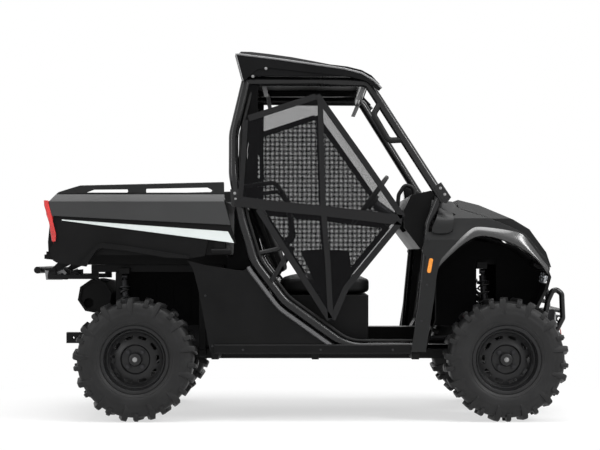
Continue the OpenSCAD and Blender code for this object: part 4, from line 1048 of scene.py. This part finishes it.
class VEHICLE_OT_cab_details(bpy.types.Operator):
    """Passenger's handle, instrument pod, seat belts and the net's release straps"""
    bl_idname = "vehicle.cab_details"
    bl_label = "Cab details"

    def execute(self, context):
        handle = [(0.650, 1.255), (0.640, 1.318), (0.592, 1.332), (0.556, 1.275), (0.545, 1.165),
                  (0.590, 1.125)]
        path = rounded([(x, -0.30, z) for x, z in handle], 0.035)
        dress(tube("dash_handle", path, 0.012, 5), "chassis", "grip_rubber")
        pod = slab("instrument_pod", [(0.628, 1.262), (0.618, 1.330), (0.640, 1.346), (0.735, 1.300),
                                      (0.740, 1.268)], 0.255, 0.190, edge=0.010, segments=3)
        dress(smooth(pod), "chassis", "moulded_black")
        face = slab("instrument_face", [(0.6205, 1.274), (0.6130, 1.326), (0.6145, 1.326), (0.6225, 1.274)],
                    0.272, 0.156, edge=0.0005)
        dress(face, "chassis", "screen_black")
        line = [(-0.318, 1.224), (-0.300, 1.290), (-0.262, 1.240), (-0.212, 1.060), (-0.155, 0.900),
                (-0.120, 0.826)]
        belts = [skin("belt", [[(x, y + d, z) for x, z in line] for d in (-0.024, 0.024)], 0.0015, rounds=1)
                 for y in (-0.545, 0.035)]
        dress(both_sides("seat_belts", *belts), "chassis", "webbing_black")
        line = [(-0.062, 0.972), (-0.118, 0.874), (-0.172, 0.779)]
        rows = [[(x, -0.7285, z) for x, z in beside(line, d)] for d in (-0.012, 0.012)]
        strap = both_sides("release_straps", skin("strap", rows, 0.002))
        dress(strap, "chassis", "webbing_black")
        return {"FINISHED"}


class VEHICLE_OT_front_details(bpy.types.Operator):
    """Headlamp reflectors, winch rope and fairlead rollers"""
    bl_idname = "vehicle.front_details"
    bl_label = "Front details"

    def execute(self, context):
        bowl = [(0.0005, -0.004), (0.010, -0.003), (0.022, 0.006), (0.0245, 0.006), (0.0245, 0.002),
                (0.012, -0.008), (0.0005, -0.008)]
        bowls = [turned("bowl", bowl, (FRONT_X + 0.2535, y, 0.795), "X", 32) for y in (-0.540, -0.430)]
        bowls = both_sides("lamp_reflectors", smooth(join(bowls, "bowls")))
        dress(bowls, "chassis", "reflector_chrome")
        turns, per, radius, width = 26, 14, 0.0432, 0.280
        drum = Vector((FRONT_X + 0.300, 0, 0.560))
        wound = []
        for i in range(turns * per + 1):
            a = 2 * math.pi * i / per
            wound.append(drum + Vector((radius * math.cos(a), width * i / (turns * per) - width / 2,
                                        radius * math.sin(a))))
        dress(tube("winch_rope", wound, 0.0042, 2), "chassis", "rope_grey")
        rollers = []
        upright = [(0.0005, -0.036), (0.007, -0.036), (0.009, -0.030), (0.009, 0.030), (0.007, 0.036),
                   (0.0005, 0.036)]
        level = [(0.0005, -0.058), (0.007, -0.058), (0.008, -0.052), (0.008, 0.052), (0.007, 0.058),
                 (0.0005, 0.058)]
        for profile, axis, y, z in ((upright, "Z", -0.060, 0.548), (upright, "Z", 0.060, 0.548),
                                    (level, "Y", 0, 0.506), (level, "Y", 0, 0.588)):
            rollers.append(turned("roller", profile, (FRONT_X + 0.3625, y, z), axis, 24))
        dress(smooth(join(rollers, "fairlead_rollers")), "chassis", "plate_zinc")
        return {"FINISHED"}


class VEHICLE_OT_tailgate_details(bpy.types.Operator):
    """Pressed ribs and the handle on the tailgate"""
    bl_idname = "vehicle.tailgate_details"
    bl_label = "Tailgate details"

    def execute(self, context):
        ribs = [block("rib", (REAR_X - 0.5005, a, 1.020), (REAR_X - 0.488, b, 1.092), 0.004, 3)
                for a, b in ((-0.560, -0.220), (-0.180, 0.180), (0.220, 0.560))]
        dress(smooth(join(ribs, "tailgate_ribs")), "tailgate", "moulded_black")
        plate = block("plate", (REAR_X - 0.4945, -0.110, 1.140), (REAR_X - 0.4900, 0.110, 1.205), 0.003)
        lever = block("lever", (REAR_X - 0.5100, -0.080, 1.158), (REAR_X - 0.4945, 0.080, 1.186), 0.006, 3)
        dress(smooth(join([plate, lever], "tailgate_handle")), "tailgate", "steel_dark")
        return {"FINISHED"}


# Seats

def pad(name, low, high, crown, channels):
    """A crowned cushion: a block divided finely, its faces swollen and its channels pressed in the top."""
    deselect()
    low, high = Vector(low), Vector(high)
    bpy.ops.mesh.primitive_cube_add(size=1)
    o = bpy.context.object
    o.name = name
    bpy.ops.object.mode_set(mode="EDIT")
    bpy.ops.mesh.select_all(action="SELECT")
    bpy.ops.mesh.subdivide(number_cuts=28)
    bpy.ops.object.mode_set(mode="OBJECT")
    half = (high - low) / 2
    middle = (low + high) / 2
    power = 5.0             # the higher, the squarer the pillow
    channel_width = 0.007
    for v in o.data.vertices:
        q = v.co * 2
        length = (abs(q.x) ** power + abs(q.y) ** power + abs(q.z) ** power) ** (1 / power)
        soft = q / max(length, 1e-6) * max(abs(q.x), abs(q.y), abs(q.z))
        p = Vector((soft.x * half.x, soft.y * half.y, soft.z * half.z))
        if q.z > 0.2:
            p.z += crown * (1 - q.x * q.x) * (1 - q.y * q.y)
            for axis, place, deep in channels:
                d = (p.x if axis == "X" else p.y) - place
                p.z -= deep * math.exp(-(d / channel_width) ** 2)
        v.co = p + middle
    modify(o, "SUBSURF", levels=1, render_levels=1)
    return smooth(o, 60)


class VEHICLE_OT_seats(bpy.types.Operator):
    """Two seats, each a cushion and a raked back with sewn channels"""
    bl_idname = "vehicle.seats"
    bl_label = "Seats"

    def execute(self, context):
        channels = [("Y", -0.13, 0.006), ("Y", 0.13, 0.006), ("X", -0.02, 0.004)]
        for side, s in SIDES.items():
            cushion = pad("seat_cushion_" + side, (-0.26, -0.25, -0.055), (0.25, 0.25, 0.045), 0.014,
                          channels)
            cushion.data.transform(Matrix.Translation((0.130, s * 0.290, 0.757)))
            dress(cushion, "chassis", "seat_black", ["seat_cushions"])
            back = pad("seat_back_" + side, (-0.235, -0.25, -0.035), (0.235, 0.25, 0.035), 0.012, channels)
            turn = Matrix.Rotation(math.radians(-112), 4, "Y")
            back.data.transform(Matrix.Translation((-0.208, s * 0.290, 1.045)) @ turn)
            dress(back, "chassis", "seat_black", ["seat_backs"])
        return {"FINISHED"}


STEPS = [VEHICLE_OT_finishes, VEHICLE_OT_stage, VEHICLE_OT_dress_nodes, VEHICLE_OT_strap, VEHICLE_OT_tyres,
         VEHICLE_OT_wheel_parts, VEHICLE_OT_springs, VEHICLE_OT_nets, VEHICLE_OT_bed_panels,
         VEHICLE_OT_roof_sides, VEHICLE_OT_fender_flares, VEHICLE_OT_door_trim, VEHICLE_OT_liners,
         VEHICLE_OT_hood_bulge, VEHICLE_OT_fasteners, VEHICLE_OT_cab_details, VEHICLE_OT_front_details,
         VEHICLE_OT_tailgate_details, VEHICLE_OT_seats]


class VEHICLE_PT_panel(bpy.types.Panel):
    """The vehicle's sizes, colours and pieces"""
    bl_idname = "VEHICLE_PT_panel"
    bl_label = "Utility Vehicle"
    bl_space_type = "VIEW_3D"
    bl_region_type = "UI"
    bl_category = "Vehicle"

    def draw(self, context):
        for group in (context.scene.vehicle_sizes, context.scene.vehicle_finishes):
            for key in type(group).__annotations__:
                self.layout.prop(group, key)
        for step in STEPS:
            self.layout.operator(step.bl_idname)


CLASSES = [VehicleFinishes, VehicleSizes, *STEPS, VEHICLE_PT_panel]


def register():
    for c in CLASSES:
        bpy.utils.register_class(c)
    bpy.types.Scene.vehicle_finishes = bpy.props.PointerProperty(type=VehicleFinishes)
    bpy.types.Scene.vehicle_sizes = bpy.props.PointerProperty(type=VehicleSizes)


def unregister():
    del bpy.types.Scene.vehicle_sizes
    del bpy.types.Scene.vehicle_finishes
    for c in reversed(CLASSES):
        bpy.utils.unregister_class(c)


def main():
    register()
    for step in STEPS:
        group, name = step.bl_idname.split(".")
        getattr(getattr(bpy.ops, group), name)()
    deselect()


if __name__ == "__main__":
    main()
